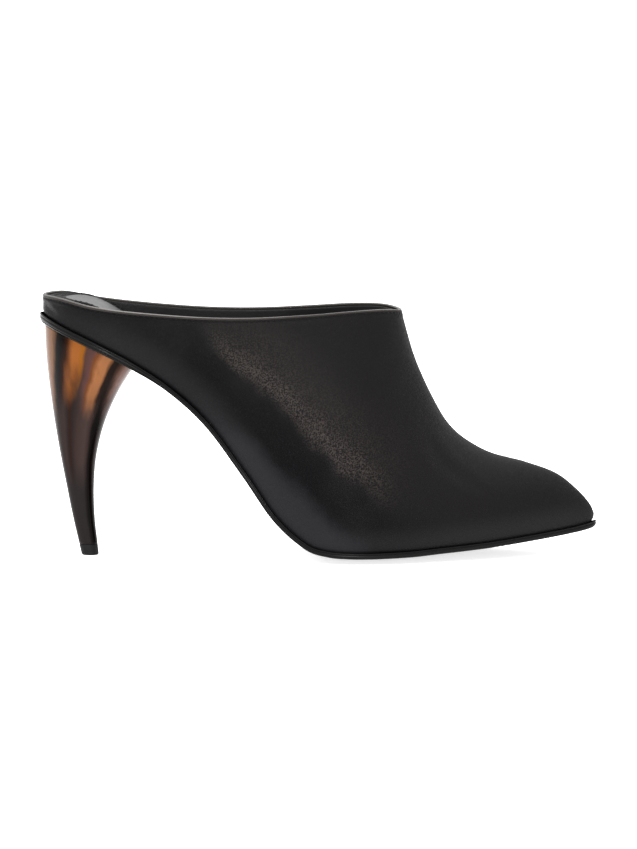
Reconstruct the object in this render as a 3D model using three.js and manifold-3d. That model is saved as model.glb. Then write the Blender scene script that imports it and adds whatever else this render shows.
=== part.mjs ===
// A right-foot mule on a tall horn heel: closed toe, low wall round the heel seat, open collar.
// Millimetres. +X runs to the toe, +Z is up, and the outer (little-toe) side of the foot faces -Y.
// The sole rests on z = 0 with a flat spot under the ball and on the heel's top piece.

import * as THREE from 'three';
import { mergeVertices } from 'three/addons/utils/BufferGeometryUtils.js';
import Module from 'manifold-3d';

const wasm = await Module();
wasm.setup();

// Driving sizes of the shoe.
const LENGTH = 222.7; // back of the sole to its toe tip, measured level
const BALL_WIDTH = 74.4; // widest part of the sole
const HEEL_HEIGHT = 93; // floor to the sole's lower edge at the back of the seat
const INSTEP_HEIGHT = 100; // floor to the collar line at the throat
const WALL = 2; // leather and lining together
const GAP = 0.3; // clearance between pieces that meet

// How the pieces stand to each other.
const SOLE_MARGIN = 1.2; // the sole's edge stands out past the upper
const TURN_SHARE = 0.5; // the turn at the foot takes at most this share of a low wall
const EDGE_ROUND = 0.35; // softening of the sole's upper arris
const CONE_RISE = 18; // the uncut form carries on this far above the instep
const CORE_DROP = 14; // the cut-out form carries on this far below the sole's edge
const HEEL_SLAB_REACH = 4; // the body that trims the heel stands out this far past the sole
const HEEL_SLAB_RISE = 72; // and rises this far above it
const FLOOR_DEPTH = 20; // depth of the block that trims the sole at the floor
const RIM_SHARES = [0.45, 0.85]; // where the sole's edge is fullest, in parts of its thickness
const BED_DISH = 1; // hollow across the footbed
const BED_FOLLOW = 0.4; // share of the sole's crown that the footbed follows
const TOP_PIECE_HEIGHT = 4.4;

// Mesh fineness.
const SECTION_SPACING = 5.4; // longest step along the outline
const WALL_STEPS = 9;
const SOLE_STEPS = 6;
const HEEL_RINGS = 18;
const HEEL_SIDES = 32;
const COLLAR_STEPS = 48;
const SMALL_STEP = 0.05; // step along the outline for slopes
const END_STEP = 8; // slopes are taken this far inside the ends
const SAME_POINT = 1e-3; // points closer than this are one
const SLIVER = 0.01; // edges shorter than this close up after a cut

// Stations of the last, from the back of the heel to the toe tip.
// along: place on the length, 0 to 1.   half, shift: half-width and sideways lean, in ball widths.
// edge: height of the sole's lower edge, in heel heights.   thick: sole thickness, mm.
// crown: how far the sole's middle hangs below its edges, mm.   under: inset of the lower arris, mm.
// crestX: place of the crest on the length.   crestZ: its height, in instep heights.
// crestHalf: width kept up to the crest, in ball widths.   belly: outward swell of the sides, mm.
// round: exponent of the section's top, 2 an ellipse, more a flatter cone.   bed: insole thickness, mm.
const STATION_COLUMNS = [
  'along', 'half', 'shift', 'edge', 'thick', 'crown', 'under',
  'crestX', 'crestZ', 'crestHalf', 'belly', 'round', 'bed',
];
const STATIONS = [
  [0.000, 0.000, 0.000, 1.006, 3.9, 0, 1.9, 0.007, 1.180, 0.000, 0.0, 8, 6.5],
  [0.013, 0.156, 0.000, 0.996, 3.5, 0.1, 1.8, 0.024, 1.180, 0.138, 0.4, 8, 7.6],
  [0.042, 0.266, 0.000, 0.968, 3.1, 0.3, 1.2, 0.067, 1.180, 0.281, 0.8, 8, 9.8],
  [0.096, 0.340, -0.003, 0.911, 2.9, 0.5, 0.7, 0.154, 1.180, 0.300, 1.5, 8, 13.2],
  [0.163, 0.352, -0.007, 0.831, 2.6, 0.6, 0.5, 0.271, 1.180, 0.273, 2.0, 8, 13.6],
  [0.230, 0.333, -0.016, 0.731, 2.0, 0.7, 0.5, 0.397, 1.180, 0.241, 4.0, 8, 10.4],
  [0.298, 0.304, -0.027, 0.579, 1.9, 0.8, 0.5, 0.531, 1.180, 0.212, 6.0, 6, 7.0],
  [0.365, 0.298, -0.038, 0.361, 2.0, 1, 0.5, 0.628, 1.160, 0.200, 8.5, 3.4, 4.4],
  [0.419, 0.333, -0.043, 0.177, 2.1, 1.3, 0.5, 0.645, 1.018, 0.236, 9.5, 2.8, 3.2],
  [0.477, 0.407, -0.040, 0.06, 2.2, 2, 0.5, 0.669, 0.824, 0.289, 9.0, 2.25, 2.6],
  [0.518, 0.456, -0.034, 0.032, 2.3, 2.5, 0.5, 0.687, 0.721, 0.315, 8.0, 2.05, 2.4],
  [0.554, 0.487, -0.022, 0.0265, 2.3, 2.75, 0.5, 0.707, 0.628, 0.336, 7.0, 2, 2.3],
  [0.590, 0.500, -0.011, 0.026, 2.3, 2.8, 0.5, 0.728, 0.546, 0.349, 6.0, 2, 2.2],
  [0.626, 0.496, -0.003, 0.028, 2.3, 2.8, 0.5, 0.751, 0.489, 0.349, 5.5, 2, 2.2],
  [0.671, 0.469, 0.008, 0.032, 2.3, 2.75, 0.5, 0.781, 0.442, 0.336, 5.0, 2, 2.2],
  [0.716, 0.427, 0.017, 0.04, 2.3, 2.5, 0.5, 0.810, 0.410, 0.309, 4.5, 2, 2.2],
  [0.765, 0.374, 0.026, 0.0475, 2.3, 2.2, 0.5, 0.841, 0.390, 0.269, 4.0, 2.05, 2.2],
  [0.814, 0.316, 0.035, 0.0565, 2.3, 1.8, 0.5, 0.870, 0.373, 0.228, 3.5, 2.1, 2.2],
  [0.904, 0.196, 0.048, 0.0805, 2.3, 1, 0.5, 0.929, 0.323, 0.141, 2.0, 2.1, 2.2],
  [0.962, 0.099, 0.055, 0.0985, 2.3, 0.4, 0.5, 0.968, 0.253, 0.073, 1.0, 2.1, 2.2],
  [0.9915, 0.049, 0.058, 0.113, 2.3, 0.1, 0.5, 0.989, 0.198, 0.035, 0.3, 2.1, 2.2],
  [1.000, 0.000, 0.058, 0.121, 2.3, 0, 0.5, 0.996, 0.162, 0.000, 0.0, 2.1, 2.2],
];
const SIDEWAYS_COLUMNS = ['half', 'crestHalf', 'belly']; // these change sign across an end

// The upper turns in where it meets the sole. rise: height above the sole.   depth: how far in, mm.
const TURN_COLUMNS = ['rise', 'depth'];
const TURN = [[0, 0.9], [0.8, 0.22], [2.6, 0]];

// Collar line seen from the side. along: place on the length.   rise: height in instep heights.
const COLLAR_COLUMNS = ['along', 'rise'];
const COLLAR = [
  [-0.05, 1.045], [0.004, 1.051], [0.040, 1.047], [0.095, 1.020], [0.170, 0.999], [0.285, 0.980],
  [0.380, 0.977], [0.480, 0.988], [0.570, 1.002], [0.620, 1.003], [0.650, 0.993], [0.720, 0.950],
];

// Level slices of the horn heel. z: height.   back, front: its reach in X, mm from the shoe's middle.
// half: half-width.   squareness: exponent of the front half of the slice.
const HEEL_COLUMNS = ['z', 'back', 'front', 'half', 'squareness'];
const HEEL = [
  [0.0, -94.8, -88.0, 3.5, 2.2],
  [4.6, -95.9, -88.4, 3.9, 2.2],
  [15.0, -98.3, -89.5, 4.6, 2.2],
  [28.0, -100.9, -89.8, 5.7, 2.2],
  [41.0, -103.4, -88.6, 7.5, 2.2],
  [54.0, -105.6, -85.2, 10.6, 2.2],
  [66.0, -107.3, -79.8, 15.6, 2.3],
  [76.0, -108.5, -73.6, 21.0, 2.4],
  [88.0, -109.3, -66.5, 24.9, 2.5],
  [100.0, -109.4, -62.0, 25.2, 2.5],
];

const toRow = (columns) => (values) => Object.fromEntries(columns.map((name, k) => [name, values[k]]));

// Smooth rows between the rows of a table: a cubic through each column, with given knots.
function cubicTable(rows, knots) {
  const columns = Object.keys(rows[0]);
  const slope = (name, k) => {
    const low = Math.max(k - 1, 0);
    const high = Math.min(k + 1, rows.length - 1);
    return (rows[high][name] - rows[low][name]) / (knots[high] - knots[low]);
  };
  return (u) => {
    let k = knots.findIndex((knot) => knot > u) - 1;
    if (k < 0) k = u < knots[0] ? 0 : rows.length - 2;
    const span = knots[k + 1] - knots[k];
    const f = (u - knots[k]) / span;
    const result = {};
    for (const name of columns) {
      result[name] =
        rows[k][name] * (1 + 2 * f) * (1 - f) ** 2 +
        slope(name, k) * span * f * (1 - f) ** 2 +
        rows[k + 1][name] * f * f * (3 - 2 * f) +
        slope(name, k + 1) * span * f * f * (f - 1);
    }
    return result;
  };
}

// The stations in millimetres.
const stations = STATIONS.map(toRow(STATION_COLUMNS)).map((row) => ({
  ...row,
  x: (row.along - 0.5) * LENGTH,
  half: row.half * BALL_WIDTH,
  shift: row.shift * BALL_WIDTH,
  edge: row.edge * HEEL_HEIGHT,
  crestX: (row.crestX - 0.5) * LENGTH,
  crestZ: row.crestZ * INSTEP_HEIGHT,
  crestHalf: row.crestHalf * BALL_WIDTH,
}));

// A copy of a station reflected across an end, so that the outline rounds the end squarely.
function reflected(row) {
  const copy = { ...row };
  for (const name of SIDEWAYS_COLUMNS) copy[name] = -row[name];
  return copy;
}

const lastIndex = stations.length - 1;
const stationRows = [reflected(stations[1]), ...stations, reflected(stations[lastIndex - 1])];
const stationKnots = [0];
for (let k = 1; k < stationRows.length; k += 1) {
  const stepX = stationRows[k].x - stationRows[k - 1].x;
  const stepY = stationRows[k].half - stationRows[k - 1].half;
  stationKnots.push(stationKnots[k - 1] + Math.hypot(stepX, stepY));
}
const stationAt = cubicTable(stationRows, stationKnots);

// The values of u at which the forms have a section, evenly spaced between the stations.
const sectionPlaces = [stationKnots[1]];
for (let k = 1; k <= lastIndex; k += 1) {
  const span = stationKnots[k + 1] - stationKnots[k];
  const steps = Math.max(2, Math.ceil(span / SECTION_SPACING));
  for (let j = 1; j <= steps; j += 1) sectionPlaces.push(stationKnots[k] + (span * j) / steps);
}

// A point of the sole's outline on one side (-1 outer, +1 inner), moved inwards by inset.
function outlinePoint(u, side, inset) {
  const at = (place) => {
    const row = stationAt(place);
    return new THREE.Vector2(row.x, row.shift + side * row.half);
  };
  const isHeelEnd = u <= sectionPlaces[0];
  const isToeEnd = u >= sectionPlaces.at(-1);
  if (isHeelEnd || isToeEnd) {
    const end = stationAt(u);
    return new THREE.Vector2(end.x + (isHeelEnd ? inset : -inset), end.shift);
  }
  const tangent = at(u + SMALL_STEP).sub(at(u - SMALL_STEP)).normalize();
  const inward = new THREE.Vector2(side * tangent.y, -side * tangent.x);
  return at(u).addScaledVector(inward, inset);
}

// The sole's slope at u, taken a little inside the ends, where the outline turns square.
function soleSlope(u) {
  const inside = THREE.MathUtils.clamp(u, sectionPlaces[0] + END_STEP, sectionPlaces.at(-1) - END_STEP);
  const before = stationAt(inside - SMALL_STEP);
  const after = stationAt(inside + SMALL_STEP);
  return (after.edge - before.edge) / (after.x - before.x);
}

// Height of the sole's lower and upper edge, with its thickness square to its slope.
function soleEdge(u) {
  const row = stationAt(u);
  const slope = soleSlope(u);
  return { x: row.x, slope, low: row.edge, high: row.edge + row.thick * Math.hypot(1, slope) };
}

// How much higher the sole lies at a point that stands off its own station.
const leanAt = (edge, point) => edge.slope * (point.x - edge.x);

// Height of a point across the sole, t from -1 to 1, above or below its edge height.
const hang = (row, t) => row.crown * Math.max(0, 1 - t * t);

// Joins rings of points into one closed body. End rings that don't close on themselves get a cap.
function loft(rings, capped = false) {
  const count = rings[0].length;
  const points = rings.flat();
  const faces = [];
  for (let i = 0; i < rings.length - 1; i += 1) {
    for (let j = 0; j < count; j += 1) {
      const a = i * count + j;
      const b = i * count + ((j + 1) % count);
      faces.push(a, b, a + count, b, b + count, a + count);
    }
  }
  const ends = capped ? [[0, 1], [rings.length - 1, -1]] : [];
  for (const [index, order] of ends) {
    const centre = rings[index].reduce((sum, point) => sum.add(point), new THREE.Vector3());
    points.push(centre.divideScalar(count));
    for (let j = 0; j < count; j += 1) {
      const a = index * count + j;
      const b = index * count + ((j + 1) % count);
      faces.push(points.length - 1, order > 0 ? b : a, order > 0 ? a : b);
    }
  }
  return closedBody(points, faces);
}

// Merges equal points, drops the faces that vanish, and turns the body the right way out.
function closedBody(points, faces) {
  const raw = new THREE.BufferGeometry().setFromPoints(points);
  raw.setIndex(faces);
  const merged = mergeVertices(raw, SAME_POINT);
  const index = [...merged.index.array];
  const kept = [];
  for (let k = 0; k < index.length; k += 3) {
    const [a, b, c] = index.slice(k, k + 3);
    if (a !== b && b !== c && c !== a) kept.push([a, b, c]);
  }
  const bodyOf = (triangles) => new wasm.Manifold(new wasm.Mesh({
    numProp: 3,
    vertProperties: merged.attributes.position.array,
    triVerts: Uint32Array.from(triangles.flat()),
  }));
  const body = bodyOf(kept);
  return body.volume() > 0 ? body : bodyOf(kept.map(([a, b, c]) => [b, a, c]));
}

const turnRows = TURN.map(toRow(TURN_COLUMNS));
const turnTop = turnRows.at(-1).rise;

// One section of the upper's form, from the outer foot over the crest to the inner foot.
// turned: whether the wall turns in where it meets the sole.
function upperSection(u, turned) {
  const row = stationAt(u);
  const edge = soleEdge(u);
  const foot = edge.high + GAP;
  const height = row.crestZ - foot;
  const low = Math.min(turnTop / height, TURN_SHARE);
  const start = Math.asin(low);
  const levels = turnRows.map(({ rise, depth }) => (
    { h: (rise / turnTop) * low, depth: turned ? depth : 0 }
  ));
  for (let k = 1; k <= WALL_STEPS; k += 1) {
    levels.push({ h: Math.sin(start + ((Math.PI / 2 - start) * k) / WALL_STEPS), depth: 0 });
  }
  const feet = [-1, 1].map((side) => outlinePoint(u, side, SOLE_MARGIN));
  const middle = feet[0].clone().add(feet[1]).multiplyScalar(0.5);
  const sidePoints = (side) => {
    const outer = feet[side < 0 ? 0 : 1];
    return levels.map(({ h, depth }) => {
      const cap = Math.max(0, 1 - h ** row.round) ** (1 / row.round);
      const footHalf = Math.abs(outer.y - middle.y);
      const spread = footHalf * (1 - h) + row.crestHalf * h + row.belly * 4 * h * (1 - h);
      const reach = (outer.x - middle.x) * (1 - h) * cap;
      const footPoint = outlinePoint(u, side, SOLE_MARGIN + depth);
      return new THREE.Vector3(
        middle.x + (row.crestX - middle.x) * h + reach + footPoint.x - outer.x,
        middle.y * (1 - h) + row.shift * h + side * spread * cap + footPoint.y - outer.y,
        foot + height * h + leanAt(edge, footPoint) * (1 - h),
      );
    });
  };
  return [...sidePoints(-1), ...sidePoints(1).reverse().slice(1)];
}

// The upper's form moved inwards by depth along its own normals, its feet carried down below the sole.
function upperCore(depth) {
  const rings = sectionPlaces.map((u) => upperSection(u, false));
  const count = rings[0].length;
  const skin = new THREE.BufferGeometry().setFromPoints(rings.flat());
  const faces = [];
  for (let i = 0; i < rings.length - 1; i += 1) {
    for (let j = 0; j < count - 1; j += 1) {
      const a = i * count + j;
      faces.push(a, a + count, a + 1, a + 1, a + count, a + count + 1);
    }
  }
  skin.setIndex(faces);
  skin.computeVertexNormals();
  const normals = skin.attributes.normal;
  const coreRings = rings.map((ring, i) => {
    const isEnd = i === 0 || i === rings.length - 1;
    const moved = ring.map((point, j) => {
      const here = new THREE.Vector3().fromBufferAttribute(normals, i * count + j);
      const across = new THREE.Vector3().fromBufferAttribute(normals, i * count + count - 1 - j);
      if (isEnd) here.add(across).setY(0);
      if (i === 0) here.setZ(0);
      return point.clone().addScaledVector(here.normalize(), -depth);
    });
    const drop = new THREE.Vector3(0, 0, -CORE_DROP);
    return [moved[0].clone().add(drop), ...moved, moved[count - 1].clone().add(drop)];
  });
  return loft(coreRings);
}

// A layer across the sole's outline between two heights, each worked out from a row and t.
// Its surfaces carry on past the outline by outset; inset(row) places their edge inside it.
function slab(outset, inset, lowHeight, highHeight) {
  return loft(sectionPlaces.map((u) => {
    const row = stationAt(u);
    const edge = soleEdge(u);
    const sides = [-1, 1].map((side) => outlinePoint(u, side, inset(row)));
    const outside = [-1, 1].map((side) => outlinePoint(u, side, -outset));
    const line = (height) => {
      const inner = Array.from({ length: SOLE_STEPS + 1 }, (_, k) => {
        const place = sides[0].clone().lerp(sides[1], k / SOLE_STEPS);
        const level = height(row, edge, (2 * k) / SOLE_STEPS - 1);
        return new THREE.Vector3(place.x, place.y, level + leanAt(edge, place));
      });
      const level = height(row, edge, 1);
      const ends = outside.map((place) => new THREE.Vector3(place.x, place.y, level + leanAt(edge, place)));
      return [ends[0], ...inner, ends[1]];
    };
    return [...line(lowHeight), ...line(highHeight).reverse()];
  }));
}

// The sole: softened upper arris, full edge, undercut lower arris, and a hanging crown between.
function makeOutsole() {
  const body = loft(sectionPlaces.map((u) => {
    const row = stationAt(u);
    const edge = soleEdge(u);
    const line = (inset, height) => {
      const sides = [-1, 1].map((side) => outlinePoint(u, side, inset));
      return Array.from({ length: SOLE_STEPS + 1 }, (_, k) => {
        const place = sides[0].clone().lerp(sides[1], k / SOLE_STEPS);
        const level = height - hang(row, (2 * k) / SOLE_STEPS - 1);
        return new THREE.Vector3(place.x, place.y, level + leanAt(edge, place));
      });
    };
    const rim = (side) => RIM_SHARES.map((share) => {
      const place = outlinePoint(u, side, 0);
      return new THREE.Vector3(place.x, place.y, edge.low + (edge.high - edge.low) * share);
    });
    return [
      ...line(row.under, edge.low),
      ...rim(1),
      ...line(EDGE_ROUND, edge.high).reverse(),
      ...rim(-1).reverse(),
    ];
  }));
  return body.subtract(blockBelowFloor());
}

// Everything under z = 0, which leaves the sole its flat spot.
function blockBelowFloor() {
  const block = new THREE.BoxGeometry(2 * LENGTH, 2 * BALL_WIDTH, FLOOR_DEPTH);
  block.translate(0, 0, -FLOOR_DEPTH / 2);
  return closedBody(pointsOf(block), [...block.index.array]);
}

function pointsOf(geometry) {
  const { position } = geometry.attributes;
  const pointAt = (_, k) => new THREE.Vector3().fromBufferAttribute(position, k);
  return Array.from({ length: position.count }, pointAt);
}

// Everything above the collar line.
function blockAboveCollar() {
  const rows = COLLAR.map(toRow(COLLAR_COLUMNS));
  const collarAt = cubicTable(rows, rows.map((row) => row.along));
  const first = rows[0].along;
  const last = rows.at(-1).along;
  const profile = new THREE.Shape();
  const roof = INSTEP_HEIGHT + 2 * CONE_RISE;
  profile.moveTo((first - 0.5) * LENGTH, roof);
  for (let k = 0; k <= COLLAR_STEPS; k += 1) {
    const row = collarAt(first + ((last - first) * k) / COLLAR_STEPS);
    profile.lineTo((row.along - 0.5) * LENGTH, row.rise * INSTEP_HEIGHT);
  }
  profile.lineTo((last - 0.5) * LENGTH, roof);
  const block = new THREE.ExtrudeGeometry(profile, { depth: 2 * BALL_WIDTH, bevelEnabled: false });
  block.rotateX(Math.PI / 2).translate(0, BALL_WIDTH, 0);
  const corners = pointsOf(block);
  return closedBody(corners, corners.map((_, k) => k));
}

function makeUpper() {
  const form = loft(sectionPlaces.map((u) => upperSection(u, true)));
  return form.subtract(upperCore(WALL)).subtract(blockAboveCollar());
}

// The footbed lies on the sole inside the upper, thick and cushioned at the heel seat.
function makeInsole() {
  const onSole = (row, edge, t) => edge.high - hang(row, t) + GAP;
  const dish = (row, t) => BED_DISH * (1 - t * t);
  const bedTop = (row, edge, t) => edge.high + row.bed - dish(row, t) - BED_FOLLOW * hang(row, t);
  const bed = slab(SOLE_MARGIN, () => 0, onSole, bedTop);
  return bed.intersect(upperCore(WALL + GAP));
}

// A superellipse slice whose front half can be squarer than its back.
function heelRing(row) {
  const middle = (row.back + row.front) / 2;
  const reach = (row.front - row.back) / 2;
  return Array.from({ length: HEEL_SIDES }, (_, k) => {
    const angle = (2 * Math.PI * k) / HEEL_SIDES;
    const power = 2 / (Math.cos(angle) > 0 ? row.squareness : 2);
    const x = Math.sign(Math.cos(angle)) * Math.abs(Math.cos(angle)) ** power;
    const y = Math.sign(Math.sin(angle)) * Math.abs(Math.sin(angle)) ** power;
    return new THREE.Vector3(middle + reach * x, row.half * y, row.z);
  });
}

const heelRows = HEEL.map(toRow(HEEL_COLUMNS));
const heelAt = cubicTable(heelRows, heelRows.map((row) => row.z));

function heelBetween(low, high, rings) {
  const step = (high - low) / rings;
  return loft(Array.from({ length: rings + 1 }, (_, k) => heelRing(heelAt(low + step * k))), true);
}

// The horn stands from the top piece to the underside of the sole.
function makeHeel() {
  const horn = heelBetween(TOP_PIECE_HEIGHT + GAP, heelRows.at(-1).z, HEEL_RINGS);
  const underSole = (row, edge, t) => edge.low - hang(row, t) - GAP;
  const farAbove = (row, edge) => edge.high + HEEL_SLAB_RISE;
  return horn.subtract(slab(HEEL_SLAB_REACH, (row) => row.under, underSole, farAbove));
}

// A cut solid as a mesh, without the slivers that a cut leaves.
function toGeometry(solid) {
  const { vertProperties, triVerts } = solid.simplify(SLIVER).getMesh();
  const geometry = new THREE.BufferGeometry();
  geometry.setAttribute('position', new THREE.BufferAttribute(vertProperties, 3));
  geometry.setIndex(new THREE.BufferAttribute(triVerts, 1));
  geometry.computeVertexNormals();
  return geometry;
}

const finishes = {
  leather: { color: 0x222021, roughness: 0.5, metalness: 0 },
  solePaint: { color: 0x1b1a1b, roughness: 0.35, metalness: 0 },
  lining: { color: 0x2c2b2c, roughness: 0.6, metalness: 0 },
  resin: { color: 0x7a4a20, roughness: 0.15, metalness: 0 },
  rubber: { color: 0x1a1a1a, roughness: 0.7, metalness: 0 },
};

const pieces = {
  upper: [makeUpper(), finishes.leather],
  outsole: [makeOutsole(), finishes.solePaint],
  insole: [makeInsole(), finishes.lining],
  heel: [makeHeel(), finishes.resin],
  top_piece: [heelBetween(0, TOP_PIECE_HEIGHT, 2), finishes.rubber],
};

const group = new THREE.Group();
for (const [name, [solid, finish]] of Object.entries(pieces)) {
  const mesh = new THREE.Mesh(toGeometry(solid), new THREE.MeshStandardMaterial(finish));
  mesh.name = name;
  group.add(mesh);
}

// The origin is on the floor, under the middle of the shoe's own box.
const centre = new THREE.Box3().setFromObject(group).getCenter(new THREE.Vector3());
group.position.set(-centre.x, -centre.y, 0);
group.updateMatrixWorld(true);

export default group;
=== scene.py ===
"""A right-foot leather mule on a tall resin horn heel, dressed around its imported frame.

The last, the collar line and the horn are worked out from short tables in the shoe's own sizes.
Tables are in millimetres from the middle of the shoe's length; meshes are placed in metres.
+X runs to the toe, +Z is up and the outer side of the foot faces -Y.
"""

import logging
import math
from dataclasses import dataclass, field
from enum import Enum

import bmesh
import bpy
import numpy as np
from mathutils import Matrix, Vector

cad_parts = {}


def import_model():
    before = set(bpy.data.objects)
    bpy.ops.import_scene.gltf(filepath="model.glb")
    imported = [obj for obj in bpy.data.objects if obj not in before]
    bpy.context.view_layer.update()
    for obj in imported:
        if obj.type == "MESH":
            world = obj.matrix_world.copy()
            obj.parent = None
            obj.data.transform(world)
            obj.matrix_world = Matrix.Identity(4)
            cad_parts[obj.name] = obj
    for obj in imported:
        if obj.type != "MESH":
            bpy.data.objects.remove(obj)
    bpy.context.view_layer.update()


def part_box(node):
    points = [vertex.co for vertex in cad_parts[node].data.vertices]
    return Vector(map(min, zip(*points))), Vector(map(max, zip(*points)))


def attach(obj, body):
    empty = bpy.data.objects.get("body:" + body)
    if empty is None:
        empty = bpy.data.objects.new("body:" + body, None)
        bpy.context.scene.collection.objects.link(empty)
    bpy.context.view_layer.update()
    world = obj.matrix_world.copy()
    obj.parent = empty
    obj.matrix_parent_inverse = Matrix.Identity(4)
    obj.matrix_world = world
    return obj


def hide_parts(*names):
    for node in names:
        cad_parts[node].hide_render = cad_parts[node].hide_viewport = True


LOG = logging.getLogger("mule")
MM = 0.001
BODY = "root"
SMALL_STEP = 0.05
HALVINGS = 40
OUTER = -1.0
INNER = 1.0
STRAIGHT_UP = math.pi / 2
STUDIO_LIGHT = 2.3  # how much brighter than its own colour a matt upright face is lit

Points = np.ndarray
Pieces = dict[str, bpy.types.Object]
Colour = tuple[float, float, float, float]
WHITE = (1.0, 1.0, 1.0, 1.0)
LIE = "lie"  # name of the values that a piece's points carry
TINY = 1e-12  # keeps a length from being nought
MERGE = 2e-6  # points nearer than this are one, in metres
END_ROOM = 0.3  # how far from the ends of the outline a normal is taken, mm
NORMAL_STEP = 0.1
NORMAL_TURN = 0.002

# Stations of the last from the back of the heel to the toe tip. x: place on the length.
# half, shift: half-width and sideways lean in ball widths. edge: height of the sole's lower edge in
# heel heights. thick, crown, under: the sole's thickness, hanging middle and undercut, mm.
# crest_x, crest_z, crest_half: place, height and width of the section's top. belly: swell, mm.
# round: exponent of the section's top. bed: thickness of the footbed, mm.
STATION_COLUMNS = (
    "x", "half", "shift", "edge", "thick", "crown", "under",
    "crest_x", "crest_z", "crest_half", "belly", "round", "bed",
)
STATIONS = (
    (0.000, 0.000, 0.000, 1.006, 3.9, 0.0, 1.9, 0.007, 1.180, 0.000, 0.0, 8.0, 6.5),
    (0.013, 0.156, 0.000, 0.996, 3.5, 0.1, 1.8, 0.024, 1.180, 0.138, 0.4, 8.0, 7.6),
    (0.042, 0.266, 0.000, 0.968, 3.1, 0.3, 1.2, 0.067, 1.180, 0.281, 0.8, 8.0, 9.8),
    (0.096, 0.340, -0.003, 0.911, 2.9, 0.5, 0.7, 0.154, 1.180, 0.300, 1.5, 8.0, 13.2),
    (0.163, 0.352, -0.007, 0.831, 2.6, 0.6, 0.5, 0.271, 1.180, 0.273, 2.0, 8.0, 13.6),
    (0.230, 0.333, -0.016, 0.731, 2.0, 0.7, 0.5, 0.397, 1.180, 0.241, 4.0, 8.0, 10.4),
    (0.298, 0.304, -0.027, 0.579, 1.9, 0.8, 0.5, 0.531, 1.180, 0.212, 6.0, 6.0, 7.0),
    (0.365, 0.298, -0.038, 0.361, 2.0, 1.0, 0.5, 0.628, 1.160, 0.200, 8.5, 3.4, 4.4),
    (0.419, 0.333, -0.043, 0.177, 2.1, 1.3, 0.5, 0.645, 1.018, 0.236, 9.5, 2.8, 3.2),
    (0.477, 0.407, -0.040, 0.060, 2.2, 2.0, 0.5, 0.669, 0.824, 0.289, 9.0, 2.25, 2.6),
    (0.518, 0.456, -0.034, 0.032, 2.3, 2.5, 0.5, 0.687, 0.721, 0.315, 8.0, 2.05, 2.4),
    (0.554, 0.487, -0.022, 0.0265, 2.3, 2.75, 0.5, 0.707, 0.628, 0.336, 7.0, 2.0, 2.3),
    (0.590, 0.500, -0.011, 0.026, 2.3, 2.8, 0.5, 0.728, 0.546, 0.349, 6.0, 2.0, 2.2),
    (0.626, 0.496, -0.003, 0.028, 2.3, 2.8, 0.5, 0.751, 0.489, 0.349, 5.5, 2.0, 2.2),
    (0.671, 0.469, 0.008, 0.032, 2.3, 2.75, 0.5, 0.781, 0.442, 0.336, 5.0, 2.0, 2.2),
    (0.716, 0.427, 0.017, 0.040, 2.3, 2.5, 0.5, 0.810, 0.410, 0.309, 4.5, 2.0, 2.2),
    (0.765, 0.374, 0.026, 0.0475, 2.3, 2.2, 0.5, 0.841, 0.390, 0.269, 4.0, 2.05, 2.2),
    (0.814, 0.316, 0.035, 0.0565, 2.3, 1.8, 0.5, 0.870, 0.373, 0.228, 3.5, 2.1, 2.2),
    (0.904, 0.196, 0.048, 0.0805, 2.3, 1.0, 0.5, 0.929, 0.323, 0.141, 2.0, 2.1, 2.2),
    (0.962, 0.099, 0.055, 0.0985, 2.3, 0.4, 0.5, 0.968, 0.253, 0.073, 1.0, 2.1, 2.2),
    (0.9915, 0.049, 0.058, 0.113, 2.3, 0.1, 0.5, 0.989, 0.198, 0.035, 0.3, 2.1, 2.2),
    (1.000, 0.000, 0.058, 0.121, 2.3, 0.0, 0.5, 0.996, 0.162, 0.000, 0.0, 2.1, 2.2),
)
SIDEWAYS = ("half", "crest_half", "belly")

# Collar line from the side. along: place on the length. rise: height in instep heights.
COLLAR_COLUMNS = ("along", "rise")
COLLAR = (
    (-0.05, 1.045), (0.004, 1.051), (0.040, 1.047), (0.095, 1.020), (0.170, 0.999), (0.285, 0.980),
    (0.380, 0.977), (0.480, 0.988), (0.570, 1.002), (0.620, 1.003), (0.650, 0.993), (0.720, 0.950),
)

# Level slices of the horn. back, front: its reach in X. squareness: exponent of its front half.
HORN_COLUMNS = ("z", "back", "front", "half", "squareness")
HORN = (
    (0.0, -94.8, -88.0, 3.5, 2.2),
    (4.6, -95.9, -88.4, 3.9, 2.2),
    (15.0, -98.3, -89.5, 4.6, 2.2),
    (28.0, -100.9, -89.8, 5.7, 2.2),
    (41.0, -103.4, -88.6, 7.5, 2.2),
    (54.0, -105.6, -85.2, 10.6, 2.2),
    (66.0, -107.3, -79.8, 15.6, 2.3),
    (76.0, -108.5, -73.6, 21.0, 2.4),
    (88.0, -109.3, -66.5, 24.9, 2.5),
    (100.0, -109.4, -62.0, 25.2, 2.5),
)

# The sole's edge from its lower to its upper arris. share: part of its thickness. undercut: part of
# the lower arris's inset kept. inset: mm inwards. seat: groove depth that only the heel seat has.
EDGE_COLUMNS = ("share", "undercut", "inset", "seat")
SOLE_EDGE = (
    (0.03, 0.75, 0.00, 0.00),
    (0.09, 0.50, 0.00, 0.00),
    (0.17, 0.30, 0.00, 0.00),
    (0.24, 0.18, 0.00, 0.05),
    (0.28, 0.12, 0.00, 0.34),
    (0.32, 0.08, 0.00, 0.34),
    (0.36, 0.04, 0.00, 0.05),
    (0.46, 0.00, 0.00, 0.00),
    (0.58, 0.00, 0.02, 0.00),
    (0.66, 0.00, 0.06, 0.00),
    (0.70, 0.00, 0.26, 0.00),
    (0.74, 0.00, 0.26, 0.00),
    (0.78, 0.00, 0.05, 0.00),
    (0.84, 0.00, 0.00, 0.00),
    (0.91, 0.00, 0.04, 0.00),
    (0.96, 0.00, 0.14, 0.00),
    (0.99, 0.00, 0.28, 0.00),
)

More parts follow.
